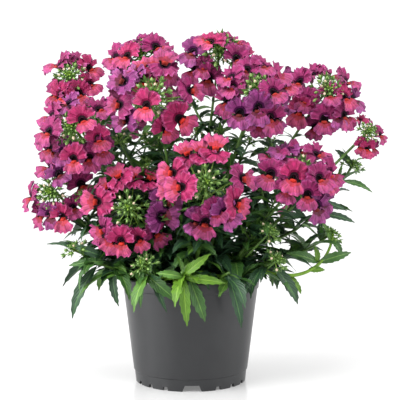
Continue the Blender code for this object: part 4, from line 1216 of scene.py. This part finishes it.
def add_calyx(greens, place, away, length, rng, opening=0.75):
    """Adds the five pointed sepals of a calyx, spread round the foot of a flower or bud."""
    side = np.cross(away, (0.2, 0.3, 0.93))
    side /= np.linalg.norm(side)
    other = np.cross(away, side)
    for k in range(SEPALS):
        angle = math.tau * (k + rng.uniform(-0.1, 0.1)) / SEPALS
        out = math.cos(angle) * side + math.sin(angle) * other
        along = opening * out - math.sqrt(max(0, 1 - opening ** 2)) * away
        across = np.cross(along, away)
        across /= np.linalg.norm(across)
        half = SEPAL_WIDTH * length
        belly = place + 0.45 * length * along
        points = [place + 0.6 * half * across, place - 0.6 * half * across, belly + half * across,
                  belly + 0.3 * half * out, belly - half * across,
                  place + length * along - 0.12 * length * away]
        greens.add(points, [(0, 2, 3, 1), (1, 3, 4), (2, 5, 3), (3, 5, 4)], "calyx")


def add_stalk(greens, top, away, foot):
    """Adds a flower stalk, which leaves the flower straight back and bends to the stem."""
    reach = 0.38 * np.linalg.norm(foot - top)
    bend = top + away * reach
    share = np.linspace(0, 1, 7)[:, None]
    line = (1 - share) ** 2 * top + 2 * share * (1 - share) * bend + share ** 2 * foot
    add_limb(greens, line, np.linspace(1.15 * STALK_RADIUS, STALK_RADIUS, 7), "pedicel", sides=6, rib=0)


print("stalk width, mm:", 2 * STALK_RADIUS / MM)

# %% [markdown]
# A whole flower.  The throat is a bowl in the near-black of the eye, painted shade inside the
# throat, with an orange-red boss on the lip in front of it, and behind it the petals join in a
# short tube.  These three are turned shapes, so each is a list of rings.

# %% A whole flower
FLOWER_SIZE = 13.4 * MM     # from the throat to the tip of a lobe
FLOWER_DEPTH = 9.0 * MM     # from the face back to the end of the tube
PETAL_THICK = 0.22 * MM
CALYX_LENGTH = 4.2 * MM
RING_SIDES = 12
# radius and height of each ring, in flower sizes
BOWL = ((0.27, 0.0), (0.20, -0.10), (0.10, -0.16), (0.01, -0.17))
BOSS = ((1.0, 0.0), (0.85, 0.55), (0.5, 0.87), (0.03, 1.0))     # shares of the boss's own size
BOSS_SIZE = (0.19, 0.11, 0.12)                                  # half width, half length, height
TUBE_DEPTH = FLOWER_DEPTH / FLOWER_SIZE
TUBE = ((0.29, -0.01), (0.21, -0.25 * TUBE_DEPTH), (0.14, -0.6 * TUBE_DEPTH), (0.11, -0.9 * TUBE_DEPTH),
        (0.02, -TUBE_DEPTH))


def add_flower(petals, greens, centre, facing, lip, foot, age, rng, size=1.0):
    """Adds a whole flower: four lobes, lip, throat, boss, tube, calyx and stalk."""
    scale = FLOWER_SIZE * size
    centre, facing, up = np.array(centre), np.array(facing), -np.array(lip)
    axes = np.stack([np.cross(up, facing), up, facing])

    def to_plant(points):
        """Places points from the flower's frame in the plant's."""
        return centre + scale * np.asarray(points).reshape(-1, 3) @ axes

    thickness = PETAL_THICK / scale
    for angle, reach in LOBES:
        front, along, _ = lobe_grid(angle, reach, rng)
        add_sheet(petals, front, thickness, to_plant, [f"{age} {zone}" for zone in lobe_zones(along)], age)
    front, along, across = lip_grid(rng)
    zones = lip_zones(along, across)
    add_sheet(petals, front, thickness, to_plant, [f"{age} {zone}" for zone in zones], age)

    around = np.linspace(0, math.tau, RING_SIDES, endpoint=False)
    ring = np.stack([np.cos(around), np.sin(around), np.zeros_like(around)], -1)
    width, length, height = BOSS_SIZE
    bowl = [ring * (r, r, 0) + (0, -0.02, z) for r, z in BOWL]
    boss = [ring * (width * r, length * r, 0) + (0, -0.22, 0.05 + height * z) for r, z in BOSS]
    tube = [ring * (r, r, 0) + (0, 0, z) for r, z in TUBE]
    # The bowl takes the eye's near-black: painted shade inside the throat.
    for rings, zone in ((bowl, "eye"), (boss, "boss"), (tube, "back")):
        faces = grid_faces(len(rings), RING_SIDES, closed=True)
        petals.add(to_plant(np.stack(rings)), faces, f"{age} {zone}")
    add_calyx(greens, centre - facing * TUBE_DEPTH * scale * 0.9, -facing, CALYX_LENGTH * size, rng)
    add_stalk(greens, centre - facing * TUBE_DEPTH * scale, -facing, np.array(foot))


print("flower, mm: about", round(2 * FLOWER_SIZE / MM), "wide and", FLOWER_DEPTH / MM, "deep")

# %% [markdown]
# In the middle of every head sits a knot of buds.  The youngest are a tight lime cushion, the
# next stand out on short stalks, and the largest show a pale tip of petal.  They are set by
# the golden angle, as the plant sets them, so they never line up.

# %% Buds
GOLDEN = math.radians(137.5)
BUD_FINISHES = {
    "calyx": living_green("calyx skin, green", "#567a38", 0.5),
    "bud": living_green("bud skin, green", "#7a9a50", 0.5),
    "heart": living_green("bud skin, youngest and lime", "#86a838", 0.5),
    "tip": living_green("bud tip, pale petal", "#cab69c", 0.5),
}
BUD_SIDES = 6
# place along a bud and radius of each ring, in bud lengths
BUD = ((0, 0.08), (0.2, 0.20), (0.5, 0.27), (0.8, 0.20), (1.0, 0.03))
# From the youngest bud of a knot to the oldest: degrees from its axis, and in mm the bud's
# length, its stalk's length and how far down the axis that leaves the stem.
KNOT_SPREAD = (12, 90)
BUD_LENGTH = (2.6, 5.4)
BUD_STALK = (0.6, 11.1)
STALK_FOOT = (1.0, 5.5)
BUD_STALK_RADIUS = 0.42 * MM
HEART = 0.25                # the youngest share of a knot's buds is lime and has no stalks
TIPPED = 0.4                # of the buds past this age, every third shows its petals' tip


def add_bud(greens, place, way, length, skin, tipped, rng):
    """Adds a bud: a small turned body with its calyx, pale at its tip if it is about to open."""
    side = np.cross(way, (0.3, 0.2, 0.93))
    side /= np.linalg.norm(side)
    other = np.cross(way, side)
    around = np.linspace(0, math.tau, BUD_SIDES, endpoint=False)
    ring = np.outer(np.cos(around), side) + np.outer(np.sin(around), other)
    rows = [place + share * length * way + radius * length * ring for share, radius in BUD]
    names = [skin] * (2 * BUD_SIDES) + ["tip" if skin == "bud" and tipped else skin] * (2 * BUD_SIDES)
    greens.add(np.stack(rows), grid_faces(len(BUD), BUD_SIDES, closed=True), names)
    add_calyx(greens, place + 0.1 * length * way, -way, length * 1.05, rng, opening=0.78)


def add_knot(greens, knot, axis, rng, size=1.0, count=38):
    """Adds a knot of buds, the youngest in its middle."""
    knot, axis = np.array(knot), np.array(axis)
    side = np.cross(axis, (0.1, 0.2, 0.97))
    side /= np.linalg.norm(side)
    other = np.cross(axis, side)
    for i in range(count):
        age = i / (count - 1)
        spread = math.radians(mix(KNOT_SPREAD, age) + rng.uniform(-6, 6))
        out = math.cos(GOLDEN * i) * side + math.sin(GOLDEN * i) * other
        way = math.cos(spread) * axis + math.sin(spread) * out
        stalk = size * mix(BUD_STALK, age ** 1.3) * MM
        foot = knot - axis * mix(STALK_FOOT, age) * MM * size
        place = foot + way * stalk
        if age > HEART:
            line = [foot, foot + 0.5 * way * stalk + axis * 0.3 * MM, place]
            add_limb(greens, line, [BUD_STALK_RADIUS] * 3, "pedicel", 5, rib=0)
        skin = "heart" if age < HEART else "bud"
        add_bud(greens, place, way, size * mix(BUD_LENGTH, age) * MM, skin, i % 3 == 0 and age > TIPPED, rng)


print("longest bud, mm:", BUD_LENGTH[1])

# %% [markdown]
# Growing the plant.  Each stem is laid along its line, its leaves along the stem, and the
# flowers round the head, all by the rule above.  The plant's fine shapes are gathered in
# nine pieces by kind and by place, so that each stays small enough to handle.

# %% The piles
LEFT_SHOOTS = ("left_top", "left_middle", "left_low", "top_left", "upper_left", "middle_left")
SPLIT_AT = 20               # mm to the right of the axis; heads left of this are in the left piece

stems = Pile("stems_fine", stem_finishes)
leaves = {place: Pile(f"leaves_{place}", leaf_finishes) for place in ("left", "right", "rim", "young")}
petals = {side: Pile(f"petals_{side}", petal_finishes) for side in ("left", "right", "back")}
greens = Pile("buds_and_calyxes", {**BUD_FINISHES, "pedicel": stem_finishes["pedicel"]})


def head_side(name):
    """The piece that a head's petals go to."""
    if name.startswith("back"):
        return "back"
    return "left" if HEADS[name][0][0] < SPLIT_AT else "right"


print("heads in the left piece:", [name for name in HEADS if head_side(name) == "left"])

# %% [markdown]
# A nemesia flower changes colour as it ages, and each head has young, open and old ones side
# by side.  Which is which is read off the photograph and told flower by flower, and so are
# the flowers tucked in between those of the solid model, which has to keep its flowers apart.

# %% Ages, fillers and knots
# How each flower of a head has aged, in the order of its clock angles: y young, o open, w old.
AGES = {
    "left_top": "oyyoyo",
    "left_middle": "yooooowoy",
    "left_low": "ooooyw",
    "top_left": "ooowyoyo",
    "upper_left": "woyooyy",
    "top_middle": "wooooyyo",
    "upper_right": "oowyooowo",
    "right_top": "owoooyoo",
    "right_middle": "owowooyoo",
    "middle": "yyyoyowy",
    "middle_left": "yyyoyoww",
    "right_tip": "yyoo",
}
AGE_NAMES = {"y": "young", "o": "open", "w": "old"}
BACK_AGES = "yoowoyo"

# Flowers tucked in between the others: clock angle, degrees from the head's axis, age.
FILLERS = {
    "left_top": ((345, 80, "y"), (110, 60, "o")),
    "left_middle": ((214, 92, "o"), (300, 66, "o"), (250, 62, "w"), (340, 50, "y")),
    "left_low": ((325, 76, "o"), (214, 84, "o"), (265, 64, "w")),
    "top_left": ((150, 82, "o"), (212, 80, "w"), (40, 64, "o"), (300, 60, "y")),
    "upper_left": ((130, 74, "w"), (215, 70, "w"), (290, 76, "y"), (96, 60, "y")),
    "top_middle": ((155, 82, "w"), (207, 82, "o"), (225, 66, "o")),
    "upper_right": ((275, 88, "o"), (315, 82, "w"), (110, 66, "o"), (250, 60, "o"), (170, 62, "o")),
    "right_top": ((268, 24, "o"), (205, 42, "o"), (335, 46, "y"), (255, 90, "o"), (285, 66, "w")),
    "right_middle": ((222, 56, "o"), (80, 66, "o"), (345, 64, "y"), (320, 74, "w")),
    "middle": ((98, 68, "y"), (185, 66, "y"), (285, 60, "o"), (255, 74, "w")),
    "middle_left": ((88, 68, "y"), (238, 70, "y"), (288, 74, "y"), (30, 70, "w"), (140, 72, "y")),
    "right_tip": ((238, 84, "y"), (305, 80, "o")),
}
BACK_FILLERS = ((45, 60, "o"), (165, 60, "y"), (285, 60, "w"), (90, 30, "o"))
# Size of the knot of buds and how many there are, where the photograph shows it open.
KNOTS = {"middle": (1.0, 26), "middle_left": (1.05, 26), "upper_left": (1.2, 32), "top_middle": (1.35, 38)}
KNOT = (1.12, 38)           # and in the other heads
print("flowers:", sum(len(HEADS[name][3]) + len(HEADS[name][4]) + len(FILLERS.get(name, BACK_FILLERS))
                      for name in HEADS))

# %% [markdown]
# Where the flowers of a head stand: on a flattened dome round the knot, facing half outwards.
# Seen from above their knot, flowers hold their lips outwards.  In heads that show their side
# the lips hang down, and the heads at the top are flatter than a dome.

# %% Places of flowers
RING_SPREAD = 82.0          # degrees from the head's axis to its outer flowers
FACE_SPREAD = 36.0
STAGGER = 9.0               # every other flower stands this many degrees further out
FACING = 0.42               # a flower faces this share of its own spread
LIP_TURN = 0.18             # how far a lip turns to one side of straight out, as a tangent
NOD = 0.2                   # how far chance tips a flower
DOME_FLAT = 0.8             # height of a head's dome over its radius
PULLED_IN = 0.9             # where lips hang down, the wide fine flowers stand closer than the solid ones
PEDICEL_FEET = (0.18, 1.05)             # how far under the top stalks leave the stem, in dome radii
FEET_STEP = 5               # neighbours round the head leave the stem this many places apart
FILLER_DEPTH = 0.22         # how far behind the others the fillers stand, as a share of the dome
# How much a head's lips hang down rather than point outwards.
LIPS_DOWN = {"left_top": 1.6, "left_middle": 2.2, "left_low": 1.8, "top_left": 1.8, "upper_right": 1.8,
             "right_top": 2.0, "right_middle": 1.8, "right_tip": 1.6, "top_middle": 1.4}
# How much closer the upper flowers of a flat head stand.
FLAT_TOPS = {"top_left": 0.3, "top_middle": 0.42, "right_top": 0.2}


def frame_of(direction):
    """Two unit vectors square to a direction and to each other."""
    side = direction.cross(Vector((0, 0, 1))).normalized()
    return side, side.cross(direction).normalized()


def flower_places(name, stem, rows, behind=0.0):
    """(centre, facing, lip direction, foot of stalk) for each (clock angle, spread) of a head."""
    dome = HEADS[name][1] * MM * (PULLED_IN if name in LIPS_DOWN else 1)
    axis = head_axis(name)
    left, up = frame_of(axis)
    for i, (clock, spread) in enumerate(rows):
        spread = math.radians(spread + (STAGGER if i % 2 else -STAGGER))
        clock = math.radians(clock)
        out = math.sin(clock) * up - math.cos(clock) * left
        wide = math.sin(spread) * (1 - FLAT_TOPS.get(name, 0) * max(0, math.sin(clock)))
        spot = head_centre(name) + dome * (wide * out + (DOME_FLAT * math.cos(spread) - behind) * axis)
        facing = (math.sin(FACING * spread) * out + math.cos(FACING * spread) * axis).normalized()
        hang = out + LIPS_DOWN.get(name, 0) * Vector((0, 0, -1))
        lip = hang - hang.dot(facing) * facing + (LIP_TURN if i % 2 else -LIP_TURN) * out.cross(facing)
        below = dome * mix(PEDICEL_FEET, (i * FEET_STEP % len(rows)) / len(rows))
        yield spot, facing, lip.normalized(), along_stem(stem[::-1], below)


def nodded(facing, lip, rng):
    """A flower's facing and lip direction, tipped a little by chance."""
    facing = (facing + Vector([rng.uniform(-NOD, NOD) for _ in range(3)])).normalized()
    return facing, (lip - lip.dot(facing) * facing).normalized()


print("flowers round the middle head:", len(HEADS["middle"][3]))

# %% [markdown]
# A head is its flowers, then the fillers a little behind them and smaller, then the knot.
# Each head has its own source of chance, so that changing one leaves the others as they are.

# %% Growing a head
SMALL_HEAD = 16             # mm; a head of a smaller dome has smaller flowers and buds
SMALL_SCALE = 0.66
FLOWER_SCALE = (0.92, 1.06)
FILLER_SCALE = (0.76, 0.92)


def grow_flowers(name, line, rows, ages, scale, behind, rng):
    """Grows flowers of a head at the given (clock angle, spread), each of its own age."""
    small = SMALL_SCALE if HEADS[name][1] < SMALL_HEAD else 1.0
    for (spot, facing, lip, foot), age in zip(flower_places(name, line, rows, behind), ages):
        size = small * rng.uniform(*scale)
        facing, lip = nodded(facing, lip, rng)
        add_flower(petals[head_side(name)], greens, spot, facing, lip, foot, AGE_NAMES[age], rng, size)


def grow_head(name, neck):
    """Grows a head on the stem that ends in the neck points."""
    rng = random.Random(f"{SEED} head {name}")
    line = neck + [head_centre(name), head_knot(name)]
    rows = [(clock, RING_SPREAD) for clock in HEADS[name][3]]
    rows += [(clock, FACE_SPREAD) for clock in HEADS[name][4]]
    grow_flowers(name, line, rows, AGES.get(name, BACK_AGES), FLOWER_SCALE, 0.0, rng)
    fillers = FILLERS.get(name, BACK_FILLERS)
    grow_flowers(name, line, [row[:2] for row in fillers], [row[2] for row in fillers], FILLER_SCALE,
                 FILLER_DEPTH, rng)
    small = SMALL_SCALE if HEADS[name][1] < SMALL_HEAD else 1.0
    size, count = KNOTS.get(name, KNOT)
    add_knot(greens, head_knot(name), head_axis(name), rng, size * small, count)


print("small heads:", [name for name in HEADS if HEADS[name][1] < SMALL_HEAD])

# %% [markdown]
# In the corner between a leaf and the stem a real nemesia grows a small side shoot.  The
# solid model leaves it out, and here each leaf gets its own few small leaves, which is what
# makes the plant so full.

# %% Growing leaves
SIDE_LEAF_TURN = 0.8        # radians by which a small leaf may stand aside from its large one
SIDE_LEAF_LENGTH = (0.4, 0.72)
SHADE_SHARE = 0.4           # painted shade: under this share of its height a stem's leaves, which the plant shades, are never fresh


def leaf_age(mass, share, rng):
    """The colour of a leaf: lime on the front rim, darker and older towards the soil, where the darker
    greens are also painted shade.
    """
    if mass == "rim_front":
        return "lime" if rng.random() < 0.75 else "fresh"
    if mass.startswith("rim"):
        return rng.choice(("middle", "middle", "fresh", "dark", "dark"))
    if share > SHADE_SHARE:
        return rng.choice(("dark", "dark", "middle", "middle", "fresh"))
    return rng.choice(("dark", "dark", "middle"))


def grow_leaves(pile, mass, points, rng, size, apart, out_turn=None, small_leaves=3):
    """Grows the leaf pairs of a stem and the small side shoots in their corners."""
    own = random.Random(f"{SEED} fine {mass} {len(points)} {points[-1].x:.4f}")
    joints = []
    total = sum((b - a).length for a, b in zip(points, points[1:]))
    for distance, root, turn, rise, droop, length, roll in leaf_pairs(points, rng, size, apart, out_turn):
        share = distance / total
        joints.append(distance)
        add_leaf(pile, (root, turn, rise, droop, length, roll), leaf_age(mass, share, own), own)
        for _ in range(small_leaves):
            place = (root, turn + own.uniform(-SIDE_LEAF_TURN, SIDE_LEAF_TURN), rise + own.uniform(0.1, 0.7),
                     droop * own.uniform(0.6, 1.1), length * own.uniform(*SIDE_LEAF_LENGTH),
                     roll + own.uniform(-0.6, 0.6))
            add_leaf(pile, place, leaf_age(mass, share + 0.3, own), own)
    return joints


print("leaf ages:", list(LEAF_COLOURS))

# %% [markdown]
# A shoot also has leafy side twigs, each ending in a few buds, and small leaves on its neck.
# They fill the space between the shoots, as the mass of the solid model does.

# %% Growing twigs
TWIG_SHARES = (0.34, 0.45, 0.56, 0.66)      # the shares of a shoot's height where its twigs start
TWIG_LENGTH = (50 * MM, 28 * MM)            # from the lowest to the highest
TWIG_RISE = 55                              # degrees over level
TWIG_LIFT = 0.2                             # how far its end bends up, as a share of its length
TWIG_RADIUS = (0.9 * MM, 0.6 * MM)
TWIG_LEAVES = 0.66                          # size of its leaves beside those of the shoot
TWIG_PAIRS = 0.6                            # distance of its pairs beside that on the shoot
TWIG_KNOT = (0.5, 12)                       # size of its knot and number of buds
NECK_LEAVES = 0.5
NECK_PAIRS = 0.9
NECK_AT = 0.92              # a stem follows its bow up to this share, then runs into its head
STEPS = (0, 0.25, 0.5, 0.75, 1)


def grow_twigs(pile, name, tip, leafy_share):
    """Grows a shoot's leafy side twigs and the small leaves under its head."""
    rng = random.Random(f"{SEED} twigs {name}")
    turn = rng.uniform(0, 360)
    for i, share in enumerate(TWIG_SHARES):
        start = stem_point(tip, share)
        length = mix(TWIG_LENGTH, i / (len(TWIG_SHARES) - 1))
        way = aim(turn, TWIG_RISE) * length
        turn += math.degrees(GOLDEN)
        lift = Vector((0, 0, TWIG_LIFT * length))
        points = [start + way * s + lift * s * s for s in STEPS]
        joints = grow_leaves(pile, f"{name} twig", points, rng, TWIG_LEAVES, TWIG_PAIRS, small_leaves=1)
        add_limb(stems, points, [mix(TWIG_RADIUS, s) for s in STEPS], "stem", 8, joints)
        add_knot(greens, points[-1], way.normalized(), rng, *TWIG_KNOT)
    upper = [stem_point(tip, mix((leafy_share, NECK_AT - 0.06), s)) for s in STEPS]
    grow_leaves(pile, f"{name} neck", upper, rng, NECK_LEAVES, NECK_PAIRS, small_leaves=1)


print("twigs:", len(TWIG_SHARES) * len(SHOOTS))

# %% [markdown]
# Every shoot in turn: its own stem, leaves, twigs and head, then the side stems that leave it
# low down and end in a head of their own or in buds.

# %% Growing the shoots
LEAVES_FROM = 0.13          # the share of a shoot's height where its leaves start
STEM_RADIUS = (1.596 * MM, 0.966 * MM)      # at the foot and at the knot
SIDE_RADIUS = (1.26 * MM, 1.02 * MM)
TIP_RADIUS = (1.2 * MM, 0.84 * MM)
SIDE_LEAVES = (0.8, 1.3)    # size of a side stem's leaves and distance of its pairs
TIP_LEAVES = (0.95, 1.0)
TIP_KNOT = (0.9, 18)


def tapered(radii, line):
    """The radius at each point of a line."""
    return mix(radii, np.linspace(0, 1, len(line), endpoint=False))


def grow_side_stem(pile, name, point_at, leafy_share, rng, leaf_sizes):
    """Grows the leaves of a side stem; gives its leafy points and the distances of its joints."""
    arm = [point_at(leafy_share * s) for s in STEPS]
    joints = grow_leaves(pile, name, arm[1:], rng, *leaf_sizes)
    first = (arm[1] - arm[0]).length
    return arm, [first + joint for joint in joints]


def grow_side_head(pile, name, tip, head, leafy_share, rng):
    """Grows a side stem that ends in a head."""
    end = head_centre(head)
    bow = side_bow(tip, end)

    def point_at(share):
        """A point of the side stem."""
        return side_stem_point(tip, end, share, bow)

    joints = grow_side_stem(pile, name + head, point_at, leafy_share, rng, SIDE_LEAVES)[1]
    line = smooth_line(point_at, 0, NECK_AT) + [end, head_knot(head)]
    add_limb(stems, line, tapered(SIDE_RADIUS, line), "stem", joints=joints)
    grow_head(head, [point_at(mix((leafy_share, NECK_AT), s)) for s in (0, 0.5, 1)])


def grow_bud_stem(pile, name, tip, end, rng):
    """Grows a side stem that ends in a knot of buds."""
    bow = side_bow(tip, end)

    def point_at(share):
        """A point of the side stem."""
        return side_stem_point(tip, end, share, bow)

    arm, joints = grow_side_stem(pile, name + "tip", point_at, 1, rng, TIP_LEAVES)
    line = smooth_line(point_at, 0, 1)
    add_limb(stems, line, tapered(TIP_RADIUS, line), "stem", joints=joints)
    ahead = ((arm[-1] - arm[-2]).normalized() + Vector((0, 0, 0.6))).normalized()
    add_knot(greens, arm[-1], ahead, random.Random(f"{SEED} tip {name}"), *TIP_KNOT)


def grow_shoot(name, heads, leafy_share, bud_tips):
    """Grows a shoot with all that it carries."""
    tip = head_centre(heads[0])
    rng = random.Random(f"{SEED} foliage_{name}")
    pile = leaves["left" if name in LEFT_SHOOTS else "right"]
    leafy = [stem_point(tip, LEAVES_FROM + (leafy_share - LEAVES_FROM) * i / 5) for i in range(6)]
    leafy[0] = leafy[0] + CLEAR * (leafy[1] - leafy[0]).normalized()
    joints = grow_leaves(pile, name, leafy, rng, 1.0, 1.0)
    grow_twigs(pile, name, tip, leafy_share)
    bare = (leafy[0] - stem_point(tip, 0)).length
    line = smooth_line(lambda s: stem_point(tip, s), 0, NECK_AT) + [tip, head_knot(heads[0])]
    radii = mix(STEM_RADIUS, np.linspace(0, 1, len(line)))
    add_limb(stems, line, radii, "stem", joints=[bare + joint for joint in joints])
    grow_head(heads[0], [stem_point(tip, mix((leafy_share, NECK_AT), s)) for s in (0, 0.5, 1)])
    for head in heads[1:]:
        grow_side_head(pile, name, tip, head, leafy_share, rng)
    for end in bud_tips:
        grow_bud_stem(pile, name, tip, Vector(end) * MM, rng)


for name, plan in SHOOTS.items():
    grow_shoot(name, *plan)
print("points of petals:", sum(pile.count for pile in petals.values()))

# %% [markdown]
# The low shoots run outwards from the rim's inside.  Their outer leaves hang over the rim,
# and the one at the front has the lime green of the newest growth.

# %% Growing the low shoots
LOW_BEND = 1.7              # how late a low shoot runs out
LOW_RADIUS = (1.5 * MM, 1.0 * MM)
LOW_PAIRS = 0.9


def grow_low_shoot(name, turn, distance, height, reach):
    """Grows a low shoot over the rim."""
    rng = random.Random(f"{SEED} foliage_{name}")
    turn = math.radians(turn)
    out = Vector((math.sin(turn), -math.cos(turn), 0))
    foot = out * distance * MM + Vector((0, 0, SOIL_TOP + CLEAR))

    def point_at(share):
        """A point of the low shoot at a share of its height."""
        return foot + Vector((0, 0, share * height * MM)) + share ** LOW_BEND * reach * MM * out

    points = [point_at(i / 3) for i in range(4)]
    pile = leaves["young" if name == "rim_front" else "rim"]
    joints = grow_leaves(pile, name, points, rng, 1.0, LOW_PAIRS, turn, small_leaves=2)
    line = smooth_line(point_at, 0, 1)
    add_limb(stems, line, tapered(LOW_RADIUS, line), "stem", joints=joints)


for name, plan in LOW_SHOOTS.items():
    grow_low_shoot(name, *plan)
print("points of rim leaves:", leaves["rim"].count + leaves["young"].count)

# %% [markdown]
# Some leaves can be made out one by one in the photograph: those that hang over the rim and
# those on the long stems at the right.  They aren't left to chance.  Each is named here by
# its foot on a stem and its tip, and so are a sprawling stem that dips over the rim and
# turns up, and three tufts of buds that are open early.

# %% Leaves, stem and tufts seen one by one
# foot (x, y, z), tip (x, y, z), width, all in mm, and age
SEEN_LEAVES = (
    ((-5, -66, 95), (-2, -67, 57), 9.5, "lime"),
    ((-5, -66, 96), (16, -68, 113), 8, "lime"),
    ((-4, -66, 94), (28, -66, 90), 8, "lime"),
    ((-5, -66, 95), (-26, -66, 98), 7, "fresh"),
    ((0, -64, 93), (12, -64, 60), 11, "middle"),
    ((30, -60, 96), (41, -58, 54), 9, "dark"),
    ((55, -42, 97), (42, -54, 79), 9, "dark"),
    ((-37, -58, 98), (-39, -58, 70), 6, "middle"),
    ((-30, -55, 95), (-18, -63, 67), 6, "dark"),
    ((-35, -56, 96), (-10, -64, 76), 11, "middle"),
    ((-77, -34, 101), (-98, -30, 57), 11, "dark"),
    ((-64, -32, 97), (-59, -36, 68), 8, "dark"),
    ((68, -39, 101), (89, -31, 69), 11, "dark"),
    ((80, -34, 94), (92, -31, 77), 6, "lime"),
    ((107, -26, 103), (135, -23, 111), 9, "middle"),
    ((107, -26, 103), (80, -31, 111), 9, "middle"),
    ((106, -26, 102), (104, -25, 117), 6, "lime"),
    ((98, -29, 97), (112, -30, 97), 6, "lime"),
    ((119, -19, 122), (128, -20, 108), 7, "middle"),
    ((118, -20, 120), (111, -20, 137), 6, "fresh"),
    ((112, -12, 143), (140, -14, 136), 7, "dark"),
    ((131, -6, 172), (157, -6, 162), 6, "middle"),
    ((110, -10, 153), (134, -11, 146), 6, "dark"),
    ((-72, -32, 108), (-98, -34, 118), 8, "dark"),
    ((-70, -32, 104), (-100, -34, 101), 8, "middle"),
)
# The sprawling stem's four control points, the distances of its joints and its radii, in mm.
SPRAWL = ((60, -38, 97), (85, -40, 87), (116, -27, 95), (121, -18, 127))
SPRAWL_JOINTS = (20, 48)
SPRAWL_RADIUS = (1.6, 1.15)
TUFTS = ((-38, -59, 106), (66, -51, 131), (72, -46, 108))
TUFT_LENGTH = 34
TUFT_RADIUS = 0.8
TUFT_KNOT = (0.85, 26)

own = random.Random(f"{SEED} seen")
for root, tip, width, age in SEEN_LEAVES:
    grid = arched_leaf(np.array(root) * MM, np.array(tip) * MM, width * MM, own.uniform(-0.2, 0.2))
    add_blade(leaves["young" if age == "lime" else "rim"], grid, age)
share = np.linspace(0, 1, 25)[:, None]
a, b, c, d = np.array(SPRAWL) * MM
back = 1 - share
line = back ** 3 * a + 3 * share * back ** 2 * b + 3 * share ** 2 * back * c + share ** 3 * d
add_limb(stems, line, np.linspace(*SPRAWL_RADIUS, 25) * MM, "young stem",
         joints=np.array(SPRAWL_JOINTS) * MM)
for place in TUFTS:
    top = Vector(place) * MM
    way = Vector((top.x * 0.4, top.y * 0.4, 30 * MM)).normalized()
    line = [top - way * TUFT_LENGTH * MM * (1 - s) for s in np.linspace(0, 1, 8)]
    add_limb(stems, line, [TUFT_RADIUS * MM] * 8, "stem", 8)
    add_knot(greens, top, way, own, *TUFT_KNOT)
print("leaves placed one by one:", len(SEEN_LEAVES))

# %% [markdown]
# At last each pile becomes a mesh.  It takes the place of the solid nodes that it dresses,
# which are hidden.  Buds and calyxes are new: the solid model has none.

# %% Building the meshes
stems.build("stem", [n for n in nodes if n.startswith("stem_")])
young_nodes = ["foliage_rim_front"]
rim_nodes = [n for n in nodes if n.startswith("foliage_rim") and n not in young_nodes]
leaves["left"].build("leaf", [f"foliage_{name}" for name in LEFT_SHOOTS])
leaves["right"].build("leaf", [f"foliage_{name}" for name in SHOOTS if name not in LEFT_SHOOTS])
leaves["rim"].build("leaf", rim_nodes)
leaves["young"].build("young_leaf", young_nodes)
for side, pile in petals.items():
    heads = [n for n in nodes if n.startswith("flowers") and head_side(n.removeprefix("flowers_")) == side]
    pile.build("petal", heads)
greens.build("stem")
